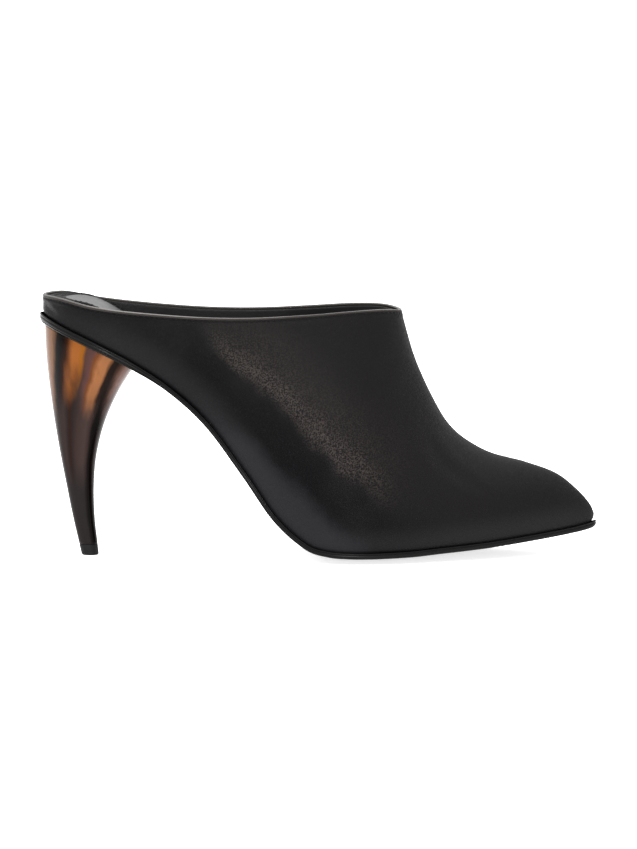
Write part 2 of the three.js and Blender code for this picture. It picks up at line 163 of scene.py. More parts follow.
# Soft folds of the upper, seen from the side. start and end: places in X and Z. width: half-width.
# depth: mm inwards, less than nothing for a ridge. side: which side of the foot.
FOLD_COLUMNS = ("start_x", "start_z", "end_x", "end_z", "width", "depth", "side")
FOLDS = (
    (-44.0, 92.0, -14.0, 64.0, 7.0, -0.55, OUTER),
    (-20.0, 70.0, 14.0, 34.0, 6.0, -0.60, OUTER),
    (42.0, 50.0, 54.0, 31.0, 2.2, 0.26, OUTER),
    (48.0, 43.0, 62.0, 27.0, 1.9, 0.22, OUTER),
    (56.0, 37.0, 68.0, 25.0, 1.6, 0.18, OUTER),
    (30.0, 84.0, 22.0, 64.0, 3.5, 0.20, OUTER),
    (-110.0, 102.0, -104.0, 97.0, 1.1, 0.30, OUTER),
    (-36.0, 92.0, -12.0, 60.0, 9.0, -0.45, INNER),
    (43.0, 49.0, 55.0, 30.0, 2.3, 0.16, INNER),
    (50.0, 42.0, 63.0, 27.0, 1.9, 0.13, INNER),
    (31.0, 82.0, 24.0, 66.0, 3.2, 0.14, INNER),
)


def smoothstep(low: float, high: float, value: Points) -> Points:
    """Returns 0 below low, 1 above high and a smooth rise between."""
    share = np.clip((value - low) / (high - low), 0.0, 1.0)
    return share * share * (3.0 - 2.0 * share)


def bell(value: Points, middle: float, width: float) -> Points:
    """Returns a smooth bump of height 1 round middle."""
    return np.exp(-(((value - middle) / width) ** 2))


class SmoothTable:
    """Smooth columns between the rows of a short table."""

    def __init__(self, columns: tuple[str, ...], rows: Points, knots: Points) -> None:
        """Works out the tangents.

        Args:
            columns: Names of the columns.
            rows: One row of values for each knot.
            knots: Rising place of each row.
        """
        self.columns = columns
        self.rows = np.asarray(rows, float)
        self.knots = np.asarray(knots, float)
        count = len(self.knots)
        low = np.maximum(np.arange(count) - 1, 0)
        high = np.minimum(np.arange(count) + 1, count - 1)
        spans = (self.knots[high] - self.knots[low])[:, None]
        self.tangents = (self.rows[high] - self.rows[low]) / spans

    def at(self, places: Points) -> dict[str, Points]:
        """Returns the columns at some places.

        Args:
            places: Places between the first and the last knot.

        Returns:
            An array for each column, shaped like places.
        """
        places = np.asarray(places, float)
        k = np.clip(np.searchsorted(self.knots, places, side="right") - 1, 0, len(self.knots) - 2)
        span = (self.knots[k + 1] - self.knots[k])[..., None]
        f = (places - self.knots[k])[..., None] / span
        values = (
            self.rows[k] * (1 + 2 * f) * (1 - f) ** 2
            + self.tangents[k] * span * f * (1 - f) ** 2
            + self.rows[k + 1] * f * f * (3 - 2 * f)
            + self.tangents[k + 1] * span * f * f * (f - 1)
        )
        return {name: values[..., j] for j, name in enumerate(self.columns)}


@dataclass
class Last:
    """The form that upper, sole and footbed share, as functions of a place u along its outline."""

    length: float = 222.7
    ball_width: float = 74.4
    heel_height: float = 93.0
    instep_height: float = 100.0
    margin: float = 1.2
    turn_depth: float = 1.5
    turn_height: float = 2.6
    turn_power: float = 2.6
    foot_sink: float = 0.7
    bed_dish: float = 1.0
    bed_follow: float = 0.4
    end_step: float = 8.0
    map_rows: int = 600
    sideways: float = 0.0
    table: SmoothTable = field(init=False)
    collar_table: SmoothTable = field(init=False)
    start: float = field(init=False)
    end: float = field(init=False)

    def __post_init__(self) -> None:
        """Scales the tables to millimetres and works out where the model stands in the frame."""
        rows = np.array(STATIONS, float)
        column = STATION_COLUMNS.index
        for name in ("x", "crest_x"):
            rows[:, column(name)] = (rows[:, column(name)] - 0.5) * self.length
        for name in ("half", "shift", "crest_half"):
            rows[:, column(name)] *= self.ball_width
        rows[:, column("edge")] *= self.heel_height
        rows[:, column("crest_z")] *= self.instep_height
        turned = [column(name) for name in SIDEWAYS]
        before, after = rows[1].copy(), rows[-2].copy()
        before[turned] *= -1
        after[turned] *= -1
        rows = np.vstack([before, rows, after])
        steps = np.hypot(np.diff(rows[:, column("x")]), np.diff(rows[:, column("half")]))
        knots = np.concatenate([[0.0], np.cumsum(steps)])
        self.table = SmoothTable(STATION_COLUMNS, rows, knots)
        self.start, self.end = knots[1], knots[-2]
        collar = np.array(COLLAR, float)
        self.collar_table = SmoothTable(COLLAR_COLUMNS, collar, collar[:, 0])
        self.map_u = np.linspace(self.start, self.end, self.map_rows)
        self.map_x = np.maximum.accumulate(self.table.at(self.map_u)["x"])
        outer_reach = np.min(self.outline(self.map_u, OUTER, 0.0)[1])
        self.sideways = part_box("outsole")[0].y / MM - outer_reach

    def outline(self, u: Points, side: float, inset: float) -> tuple[Points, Points]:
        """Works out the sole's outline in plan.

        Args:
            u: Places along the outline.
            side: The side of the foot, OUTER or INNER.
            inset: How far inwards of the outline, mm.

        Returns:
            X and Y of each point.
        """
        row, before, after = (self.table.at(u + step) for step in (0.0, -SMALL_STEP, SMALL_STEP))
        along = after["x"] - before["x"]
        across = after["shift"] - before["shift"] + side * (after["half"] - before["half"])
        size = np.hypot(along, across) + TINY
        x = row["x"] + side * across / size * inset
        y = row["shift"] + side * row["half"] - side * along / size * inset
        at_heel, at_toe = u <= self.start, u >= self.end
        x = np.where(at_heel, row["x"] + inset, np.where(at_toe, row["x"] - inset, x))
        return x, np.where(at_heel | at_toe, row["shift"], y)

    def sole_edge(self, u: Points) -> tuple[Points, Points, Points]:
        """Works out the sole's edge.

        Args:
            u: Places along the outline.

        Returns:
            Height of its lower edge, height of its upper edge, and its slope.
        """
        inside = np.clip(u, self.start + self.end_step, self.end - self.end_step)
        before, after = self.table.at(inside - SMALL_STEP), self.table.at(inside + SMALL_STEP)
        slope = (after["edge"] - before["edge"]) / (after["x"] - before["x"])
        row = self.table.at(u)
        return row["edge"], row["edge"] + row["thick"] * np.hypot(1.0, slope), slope

    def surface(self, u: Points, angle: Points) -> Points:
        """Returns points of the upper's outer face.

        Args:
            u: Places along the outline.
            angle: 0 at the outer foot, a right angle at the crest, pi at the inner foot.

        Returns:
            X, Y and Z as the last axis.
        """
        u, angle = np.broadcast_arrays(np.asarray(u, float), np.asarray(angle, float))
        side = np.where(angle > STRAIGHT_UP, INNER, OUTER)
        h = np.sin(angle)
        row = self.table.at(u)
        _, high, slope = self.sole_edge(u)
        foot = high - self.foot_sink
        height = row["crest_z"] - foot
        feet = {s: self.outline(u, s, self.margin) for s in (OUTER, INNER)}
        turned = {s: self.outline(u, s, self.margin + 1.0) for s in (OUTER, INNER)}
        foot_x, foot_y = (np.where(side < 0, feet[OUTER][k], feet[INNER][k]) for k in (0, 1))
        turn_x, turn_y = (np.where(side < 0, turned[OUTER][k], turned[INNER][k]) for k in (0, 1))
        middle_x, middle_y = ((feet[OUTER][k] + feet[INNER][k]) / 2 for k in (0, 1))
        cap = np.maximum(0.0, 1 - h ** row["round"]) ** (1 / row["round"])
        spread = np.abs(foot_y - middle_y) * (1 - h) + row["crest_half"] * h
        spread = spread + row["belly"] * 4 * h * (1 - h)
        rise = np.clip(1 - height * h / self.turn_height, 0.0, 1.0)
        depth = self.turn_depth * rise**self.turn_power
        shift_x, shift_y = (turn_x - foot_x) * depth, (turn_y - foot_y) * depth
        x = middle_x + (row["crest_x"] - middle_x) * h + (foot_x - middle_x) * (1 - h) * cap
        y = middle_y * (1 - h) + row["shift"] * h + side * spread * cap
        z = foot + height * h + slope * (foot_x + shift_x - row["x"]) * (1 - h)
        return np.stack([x + shift_x, y + shift_y, z], axis=-1)

    def normal(self, u: Points, angle: Points) -> Points:
        """Works out the way the upper's outer face looks.

        Args:
            u: Places along the outline.
            angle: Angles, as in surface.

        Returns:
            The outward unit normals.
        """
        u = np.clip(u, self.start + END_ROOM, self.end - END_ROOM)
        along = self.surface(u + NORMAL_STEP, angle) - self.surface(u - NORMAL_STEP, angle)
        over = self.surface(u, angle + NORMAL_TURN) - self.surface(u, angle - NORMAL_TURN)
        crossed = np.cross(along, over)
        return crossed / (np.linalg.norm(crossed, axis=-1, keepdims=True) + TINY)

    def collar(self, x: Points) -> Points:
        """Returns the height of the collar line at X."""
        return self.collar_table.at(x / self.length + 0.5)["rise"] * self.instep_height

    def collar_angle(self, u: Points, side: float, drop: float) -> Points:
        """Finds where each section meets the lowered collar line.

        Args:
            u: Places along the outline.
            side: The side of the foot, OUTER or INNER.
            drop: How far below the collar, mm.

        Returns:
            The angle above the foot on that side.
        """
        low, high = np.zeros_like(u), np.full_like(u, STRAIGHT_UP)
        for _ in range(HALVINGS):
            middle = (low + high) / 2
            point = self.surface(u, middle if side < 0 else math.pi - middle)
            above = point[..., 2] > self.collar(point[..., 0]) - drop
            high, low = np.where(above, middle, high), np.where(above, low, middle)
        return (low + high) / 2

    def throat(self, drop: float) -> float:
        """Finds where the crest of the instep meets the lowered collar line.

        Args:
            drop: How far below the collar, mm.

        Returns:
            The place along the outline.
        """
        low, high = self.start, self.end
        for _ in range(HALVINGS):
            middle = (low + high) / 2
            crest = self.surface(np.array([middle]), np.array([STRAIGHT_UP]))[0]
            if crest[2] > self.collar(crest[0]) - drop:
                low = middle
            else:
                high = middle
        return (low + high) / 2

    def collar_line(self, drop: float, rows: int) -> tuple[Points, Points]:
        """Follows the collar all the way round.

        Args:
            drop: How far below the collar, mm.
            rows: Points on each side.

        Returns:
            Points of the closed line, and the surface's normals there.
        """
        throat = self.throat(drop)
        share = np.linspace(1.0, 0.0, rows)
        u = throat - (throat - self.start) * share**2 * (2 - share)
        outer = self.collar_angle(u, OUTER, drop)
        inner = math.pi - self.collar_angle(u, INNER, drop)
        u = np.concatenate([u, u[-2:0:-1]])
        angle = np.concatenate([outer, inner[-2:0:-1]])
        return self.surface(u, angle), self.normal(u, angle)

    def heights(self, x: Points, y: Points) -> dict[str, Points]:
        """Returns the heights of the layers of the sole at points in plan.

        Args:
            x: Places along the shoe.
            y: Places across it.

        Returns:
            Heights of the sole's under face, its top face and the top of the footbed.
        """
        u = np.interp(x, self.map_x, self.map_u)
        row = self.table.at(u)
        low, high, _ = self.sole_edge(u)
        t = np.clip((y - row["shift"]) / np.maximum(row["half"], 1.0), -1.0, 1.0)
        hang = row["crown"] * (1 - t * t)
        bed = high + row["bed"] - self.bed_dish * (1 - t * t) - self.bed_follow * hang
        return {"under": low - hang, "top": high - hang, "bed": bed}

    def place(self, points: Points) -> Points:
        """Returns points of the tables as points of the frame, in metres."""
        return (points + np.array([0.0, self.sideways, 0.0])) * MM


@dataclass
class Skin:
    """A mesh in the making, with loose faces joined where their points meet."""

    points: list[Points] = field(default_factory=list)
    faces: list[list[int]] = field(default_factory=list)
    tags: list[int] = field(default_factory=list)
    count: int = 0

    def add_points(self, points: Points) -> Points:
        """Adds points.

        Args:
            points: Points, with X, Y and Z as the last axis.

        Returns:
            Their numbers, shaped like them.
        """
        flat = points.reshape(-1, 3)
        numbers = np.arange(self.count, self.count + len(flat)).reshape(points.shape[:-1])
        self.points.append(flat)
        self.count += len(flat)
        return numbers

    def add_quads(self, grid: Points, tag: int = 0, flip: bool = False) -> None:
        """Adds a quad between each four neighbours.

        Args:
            grid: Point numbers, rows by columns.
            tag: Number of the finish.
            flip: Whether to turn the quads over.
        """
        corners = [grid[:-1, :-1], grid[1:, :-1], grid[1:, 1:], grid[:-1, 1:]]
        quads = np.stack(corners[::-1] if flip else corners, axis=-1).reshape(-1, 4)
        self.faces.extend(quads.tolist())
        self.tags.extend([tag] * len(quads))

    def add_fan(self, ring: Points, centre: Points, tag: int = 0) -> None:
        """Closes a ring with triangles.

        Args:
            ring: Point numbers of the ring.
            centre: The point that the triangles meet in.
            tag: Number of the finish.
        """
        middle = int(self.add_points(centre.reshape(1, 3))[0])
        following = np.roll(ring, -1)
        self.faces.extend([[int(a), int(b), middle] for a, b in zip(ring, following)])
        self.tags.extend([tag] * len(ring))

    def add_tube(self, rings: Points) -> None:
        """Adds a tube with both ends closed.

        Args:
            rings: Points of each ring along the tube.
        """
        grid = self.add_points(rings)
        self.add_quads(np.concatenate([grid, grid[:, :1]], axis=1))
        for end in (0, -1):
            self.add_fan(grid[end], rings[end].mean(axis=0))

    def all_points(self) -> Points:
        """Returns every point as one array."""
        return np.concatenate(self.points)

    def to_object(self, name: str, last: Last, uv: Points | None = None) -> bpy.types.Object:
        """Makes the object, merges equal points and turns all faces outwards.

        Args:
            name: Name of the piece.
            last: The last, which places the points in the frame.
            uv: One pair of values for each point, or None.

        Returns:
            The new object, smooth shaded.
        """
        mesh = bpy.data.meshes.new(name)
        mesh.from_pydata(last.place(self.all_points()).tolist(), [], self.faces)
        mesh.polygons.foreach_set("material_index", self.tags)
        if uv is not None:
            layer = mesh.uv_layers.new(name=LIE)
            corner = np.zeros(len(mesh.loops), int)
            mesh.loops.foreach_get("vertex_index", corner)
            layer.data.foreach_set("uv", uv[corner].astype(np.float32).ravel())
        work = bmesh.new()
        work.from_mesh(mesh)
        bmesh.ops.remove_doubles(work, verts=work.verts, dist=MERGE)
        bmesh.ops.dissolve_degenerate(work, edges=work.edges, dist=MERGE)
        bmesh.ops.recalc_face_normals(work, faces=work.faces)
        work.to_mesh(mesh)
        work.free()
        mesh.polygons.foreach_set("use_smooth", [True] * len(mesh.polygons))
        made = bpy.data.objects.new(name, mesh)
        bpy.context.scene.collection.objects.link(made)
        return made


def point_normals(points: Points, faces: list[list[int]]) -> Points:
    """Averages the normals of the quads round each point.

    Args:
        points: Points, one a row.
        faces: Quads, as point numbers.

    Returns:
        The unit normal at each point.
    """
    quads = np.array(faces)
    corner = points[quads]
    face = np.cross(corner[:, 2] - corner[:, 0], corner[:, 3] - corner[:, 1])
    total = np.zeros_like(points)
    for k in range(4):
        np.add.at(total, quads[:, k], face)
    return total / (np.linalg.norm(total, axis=1, keepdims=True) + TINY)


@dataclass
class Shell:
    """One thickness of the upper between two depths below its outer face, open at collar and foot."""

    last: Last
    outer_depth: float
    inner_depth: float
    drop: float
    lip: float
    back_rows: int = 150
    front_rows: int = 120
    middle_columns: int = 34
    foot_steps: tuple[float, ...] = (0.0, 0.3, 0.6, 1.0, 1.5, 2.1, 2.9)
    collar_steps: tuple[float, ...] = (
        3.8, 3.1, 2.7, 2.35, 2.0, 1.8, 1.6, 1.4, 1.2, 1.0, 0.6, 0.3, 0.0,
    )
    room: float = 14.0
    samples: int = 160
    lip_arcs: int = 7
    toe_fade: float = 9.0
    toe_least: float = 0.12
    edge_rise: float = 0.16
    edge_fade: tuple[float, float] = (2.1, 2.7)
    seam_depth: float = 0.22
    seam_drop: float = 1.15
    seam_width: float = 0.26
    fold_ends: float = 0.3
    fold_reach: float = 9.0
    rise_share: float = 0.4
    rise_place: float = 1.9
    rise_width: float = 0.8
    lip_tag: int = 0

    def _rows(self) -> tuple[Points, int]:
        """Spaces the rows, close together at the throat and both ends.

        Returns:
            Places of the rows, and the number of the row at the throat.
        """
        throat = self.last.throat(self.drop)
        back = np.linspace(1.0, 0.0, self.back_rows)
        front = np.linspace(0.0, 1.0, self.front_rows)[1:]
        u_back = throat - (throat - self.last.start) * smoothstep(0.0, 1.0, back)
        u_front = throat + (self.last.end - throat) * smoothstep(0.0, 1.0, front)
        return np.concatenate([u_back, u_front]), self.back_rows - 1

    def _angles(self, u: Points, side: float) -> tuple[Points, Points]:
        """Spaces the columns by length over the surface.

        Args:
            u: Places of the rows.
            side: The side of the foot.

        Returns:
            The angle of each column in each row, and its lengths from the foot and to the collar
            as the last axis, in parts of the instep height.
        """
        top = self.last.collar_angle(u, side, self.drop)
        angle = top[:, None] * np.linspace(0.0, 1.0, self.samples)
        turned = angle if side < 0 else math.pi - angle
        steps = np.linalg.norm(np.diff(self.last.surface(u[:, None], turned), axis=1), axis=2)
        length = np.concatenate([np.zeros((len(u), 1)), np.cumsum(steps, axis=1)], axis=1)
        total = length[:, -1:]
        fit = np.minimum(1.0, total / self.room)
        foot = np.array(self.foot_steps) * fit
        collar = total - np.array(self.collar_steps) * fit
        share = np.linspace(0.0, 1.0, self.middle_columns + 2)[1:-1]
        middle = foot[:, -1:] + (collar[:, :1] - foot[:, -1:]) * share
        wanted = np.concatenate([foot, middle, collar], axis=1)
        found = [np.interp(w, line, turn) for w, line, turn in zip(wanted, length, turned)]
        lie = np.stack([wanted, total - wanted], axis=-1) / self.last.instep_height
        return np.array(found), lie

    def _relief(self, points: Points) -> Points:
        """Works out the turned edge, the stitched line and the folds.

        Args:
            points: Points of the plain form.

        Returns:
            How far each point stands out from it, mm.
        """
        below = self.last.collar(points[:, 0]) - points[:, 2] - self.drop
        relief = self.edge_rise * (1 - smoothstep(*self.edge_fade, below))
        relief = relief - self.seam_depth * bell(below, self.seam_drop, self.seam_width)
        u = np.interp(points[:, 0], self.last.map_x, self.last.map_u)
        across = points[:, 1] - self.last.table.at(u)["shift"]
        plane = points[:, (0, 2)]
        for values in FOLDS:
            fold = dict(zip(FOLD_COLUMNS, values))
            begin = np.array([fold["start_x"], fold["start_z"]])
            reach = np.array([fold["end_x"], fold["end_z"]]) - begin
            share = np.clip((plane - begin) @ reach / (reach @ reach), 0.0, 1.0)
            away = np.linalg.norm(plane - begin - share[:, None] * reach, axis=1) / fold["width"]
            fade = smoothstep(0.0, self.fold_ends, share) * smoothstep(0.0, self.fold_ends, 1 - share)
            fade = fade * smoothstep(0.0, self.fold_reach, across * fold["side"])
            rise = self.rise_share * bell(away, self.rise_place, self.rise_width)
            relief = relief - fold["depth"] * (bell(away, 0.0, 1.0) - rise) * fade
        return relief

    def build(self, name: str) -> bpy.types.Object:
        """Makes the shell as one closed mesh.

        Args:
            name: Name of the piece.

        Returns:
            The new object.
        """
        u, throat = self._rows()
        skin = Skin()
        sides, lies = [], []
        for side in (OUTER, INNER):
            angles, lie = self._angles(u, side)
            sides.append(self.last.surface(u[:, None], angles))
            lies.append(lie)
        grid = skin.add_points(np.array(sides))
        lie = np.array(lies).reshape(-1, 2)
        grid[1, 0], grid[1, -1] = grid[0, 0], grid[0, -1]
        grid[1, throat:, -1] = grid[0, throat:, -1]
        skin.add_quads(grid[0])
        skin.add_quads(grid[1], flip=True)
        base = skin.all_points()
        normals = point_normals(base, skin.faces)
        fade = np.clip((self.last.length / 2 - base[:, 0, None]) / self.toe_fade, self.toe_least, 1.0)
        relief = self._relief(base)[:, None] * fade if self.outer_depth == 0.0 else 0.0
        outer = base + normals * (relief - self.outer_depth * fade)
        inner = base - normals * self.inner_depth * fade
        skin.points = [outer]
        inside = grid + skin.count
        skin.add_points(inner)
        skin.add_quads(inside[0], flip=True)
        skin.add_quads(inside[1])
        edge = np.concatenate([grid[0, : throat + 1, -1], grid[1, throat - 1 : 0 : -1, -1]])
        before = np.concatenate([grid[0, : throat + 1, -2], grid[1, throat - 1 : 0 : -1, -2]])
        rings = [edge]
        up = outer[edge] - outer[before]
        up -= np.sum(up * normals[edge], axis=1, keepdims=True) * normals[edge]
        up /= np.linalg.norm(up, axis=1, keepdims=True) + 1e-12
        middle = (outer[edge] + inner[edge]) / 2
        across = (outer[edge] - inner[edge]) / 2
        for k in range(1, self.lip_arcs):
            turn = math.pi * k / self.lip_arcs
            arc = middle + across * math.cos(turn) + up * self.lip * math.sin(turn)
            rings.append(skin.add_points(arc))
        rings.append(edge + len(base))
        strip = np.array(rings)
        skin.add_quads(np.concatenate([strip, strip[:, :1]], axis=1), tag=self.lip_tag)
        foot = np.concatenate([grid[0, :, 0], grid[1, -2::-1, 0]])
        skin.add_quads(np.array([foot, foot + len(base)]))
        lips = np.tile(lie[edge], (self.lip_arcs - 1, 1))
        return skin.to_object(name, self.last, np.vstack([lie, lie, lips]))


@dataclass
class StitchRow:
    """A row of short threads along a closed or open line, each one lying in the surface."""

    pitch: float = 2.15
    thread: float = 0.21
    length: float = 1.55
    sink: float = 0.05
    tip: float = 0.002
    sides: int = 8
    rings: int = 7

    def build(
        self, name: str, last: Last, line: Points, normals: Points, closed: bool
    ) -> bpy.types.Object:
        """Makes the row as one joined mesh.

        Args:
            name: Name of the piece.
            last: The last, which places the points in the frame.
            line: Points of the line.
            normals: Surface normal at each point.
            closed: Whether the line ends where it starts.

        Returns:
            The new object.
        """
        if closed:
            line, normals = np.vstack([line, line[:1]]), np.vstack([normals, normals[:1]])
        run = np.concatenate([[0.0], np.cumsum(np.linalg.norm(np.diff(line, axis=0), axis=1))])
        count = int(run[-1] // self.pitch)
        skin = Skin()
        for k in range(count):
            middle = run[-1] * (k + 0.5) / count
            ends = [middle - self.length / 2, middle + self.length / 2]
            start, stop = (np.array([np.interp(e, run, line[:, a]) for a in range(3)]) for e in ends)
            out = np.array([np.interp(middle, run, normals[:, a]) for a in range(3)])
            self._add_thread(skin, start, stop, out / np.linalg.norm(out))
        return skin.to_object(name, last)

    def _add_thread(self, skin: Skin, start: Points, stop: Points, out: Points) -> None:
        """Adds one thread, bowed a little outwards.

        Args:
            skin: The mesh in the making.
            start: Where the thread comes out.
            stop: Where it goes in.
            out: The way the surface looks.
        """
        along = (stop - start) / np.linalg.norm(stop - start)
        side = np.cross(along, out)
        rings = []
        for j in range(self.rings):
            share = (1 - math.cos(math.pi * j / (self.rings - 1))) / 2
            radius = self.thread * math.sqrt(max(0.0, math.sin(math.pi * share))) + self.tip
            bow = self.thread * math.sin(math.pi * share) - self.thread + self.sink
            centre = start + (stop - start) * share + out * bow
            turns = np.linspace(0.0, 2 * math.pi, self.sides, endpoint=False)
            ring = np.outer(np.cos(turns), side) + np.outer(np.sin(turns), out)
            rings.append(centre + radius * ring)
        skin.add_tube(np.array(rings))


@dataclass
class Upper:
    """The upper: folded leather outside, lining inside and a row of stitches below the collar."""

    last: Last
    leather: float = 1.15
    wall: float = 2.0
    lip: float = 0.45
    lining_drop: float = 0.9
    lining_gap: float = 0.05
    lining_foot: tuple[float, ...] = (0.0, 1.0, 2.5)
    lining_collar: tuple[float, ...] = (2.4, 1.8, 1.2, 0.6, 0.0)
    lining_lip: float = 0.3
    stitch_drop: float = 1.15
    stitch_rows: int = 400

    def build(self) -> Pieces:
        """Makes the leather, the lining and the stitches.

        Returns:
            The pieces by name.
        """
        outer = Shell(self.last, 0.0, self.leather, self.lip, self.lip, lip_tag=1)
        lining = Shell(
            self.last, self.leather + self.lining_gap, self.wall,
            self.lip + self.lining_drop, self.lining_lip,
            back_rows=100, front_rows=70, middle_columns=18,
            foot_steps=self.lining_foot, collar_steps=self.lining_collar, lip_arcs=5,
        )
        line, normals = self.last.collar_line(self.lip + self.stitch_drop, self.stitch_rows)
        stitches = StitchRow().build("topline_stitches", self.last, line, normals, closed=True)
        return {
            "upper_leather": outer.build("upper_leather"),
            "upper_lining": lining.build("upper_lining"),
            "topline_stitches": stitches,
        }

    def dress(self, pieces: Pieces) -> None:
        """Gives the upper its leather, lining and thread.

        Args:
            pieces: The pieces by name.
        """
        Dressing((CALF, PAINTED_FOLD_HIGHLIGHT), "upper_leather", "upper").apply(pieces["upper_leather"])
        Dressing((LINING,), "footbed").apply(pieces["upper_lining"])
        Dressing((TOPLINE_THREAD,), "upper_leather").apply(pieces["topline_stitches"])


@dataclass
class Outsole:
    """The thin sole with a beaded upper arris, an undercut lower one and a leather tread."""

    last: Last
    rows: int = 300
    crowding: float = 0.85
    under_columns: int = 41
    top_columns: int = 9
    top_inset: float = 0.34
    seat_from: float = -52.0
    seat_to: float = -66.0

    def _rim(self, u: Points, side: float) -> Points:
        """Works out one side's edge from the lower to the upper arris.

        Args:
            u: Places along the outline.
            side: The side of the foot, OUTER or INNER.

        Returns:
            Points, rows by columns.
        """
        row = self.last.table.at(u)
        low, high, slope = self.last.sole_edge(u)
        seat = 1 - smoothstep(self.seat_to, self.seat_from, row["x"])
        columns = []
        for values in SOLE_EDGE:
            step = dict(zip(EDGE_COLUMNS, values))
            inset = row["under"] * step["undercut"] + step["inset"] + seat * step["seat"]
            x, y = self.last.outline(u, side, inset)
            z = low + (high - low) * step["share"] + slope * (x - row["x"])
            columns.append(np.stack([x, y, z], axis=-1))
        return np.stack(columns, axis=1)

    def _face(self, u: Points, inset: Points, level: Points, columns: int) -> Points:
        """Works out the under or the top face, from the outer to the inner side.

        Args:
            u: Places along the outline.
            inset: How far inwards of the outline the face ends, mm.
            level: Height of its edges.
            columns: How many points each row has.

        Returns:
            Points, rows by columns.
        """
        row = self.last.table.at(u)
        slope = self.last.sole_edge(u)[2]
        share = np.sin(np.linspace(-STRAIGHT_UP, STRAIGHT_UP, columns))
        outer, inner = (np.stack(self.last.outline(u, s, inset), axis=-1) for s in (OUTER, INNER))
        plan = outer[:, None] + (inner - outer)[:, None] * ((share + 1) / 2)[None, :, None]
        hang = row["crown"][:, None] * (1 - share**2)
        z = level[:, None] - hang + slope[:, None] * (plan[..., 0] - row["x"][:, None])
        return np.concatenate([plan, z[..., None]], axis=2)

    def build(self) -> Pieces:
        """Makes the sole as one closed mesh, its tread and its top in finishes of their own.

        Returns:
            The piece by name.
        """
        share = np.linspace(0.0, 1.0, self.rows)
        share = share - self.crowding * np.sin(2 * math.pi * share) / (2 * math.pi)
        u = self.last.start + (self.last.end - self.last.start) * share
        low, high, _ = self.last.sole_edge(u)
        under = self._face(u, self.last.table.at(u)["under"], low, self.under_columns)
        under[..., 2] = np.maximum(under[..., 2], 0.0)
        top = self._face(u, np.full_like(u, self.top_inset), high, self.top_columns)
        outer, inner = self._rim(u, OUTER), self._rim(u, INNER)
        skin = Skin()
        parts = [under, inner, top[:, ::-1], outer[:, ::-1]]
        grid = skin.add_points(np.concatenate(parts, axis=1))
        closed = np.concatenate([grid, grid[:, :1]], axis=1)
        skin.add_quads(closed[:, : self.under_columns], tag=1)
        top_from = self.under_columns + len(SOLE_EDGE)
        top_to = top_from + self.top_columns
        skin.add_quads(closed[:, self.under_columns - 1 : top_from], tag=0)
        skin.add_quads(closed[:, top_from - 1 : top_to + 1], tag=2)
        skin.add_quads(closed[:, top_to:], tag=0)
        return {"outsole_edge_inked": skin.to_object("outsole_edge_inked", self.last)}

    def dress(self, pieces: Pieces) -> None:
        """Gives the sole its inked edge, tread and top."""
        Dressing((INK, TREAD, BOARD), "sole", "outsole").apply(pieces["outsole_edge_inked"])


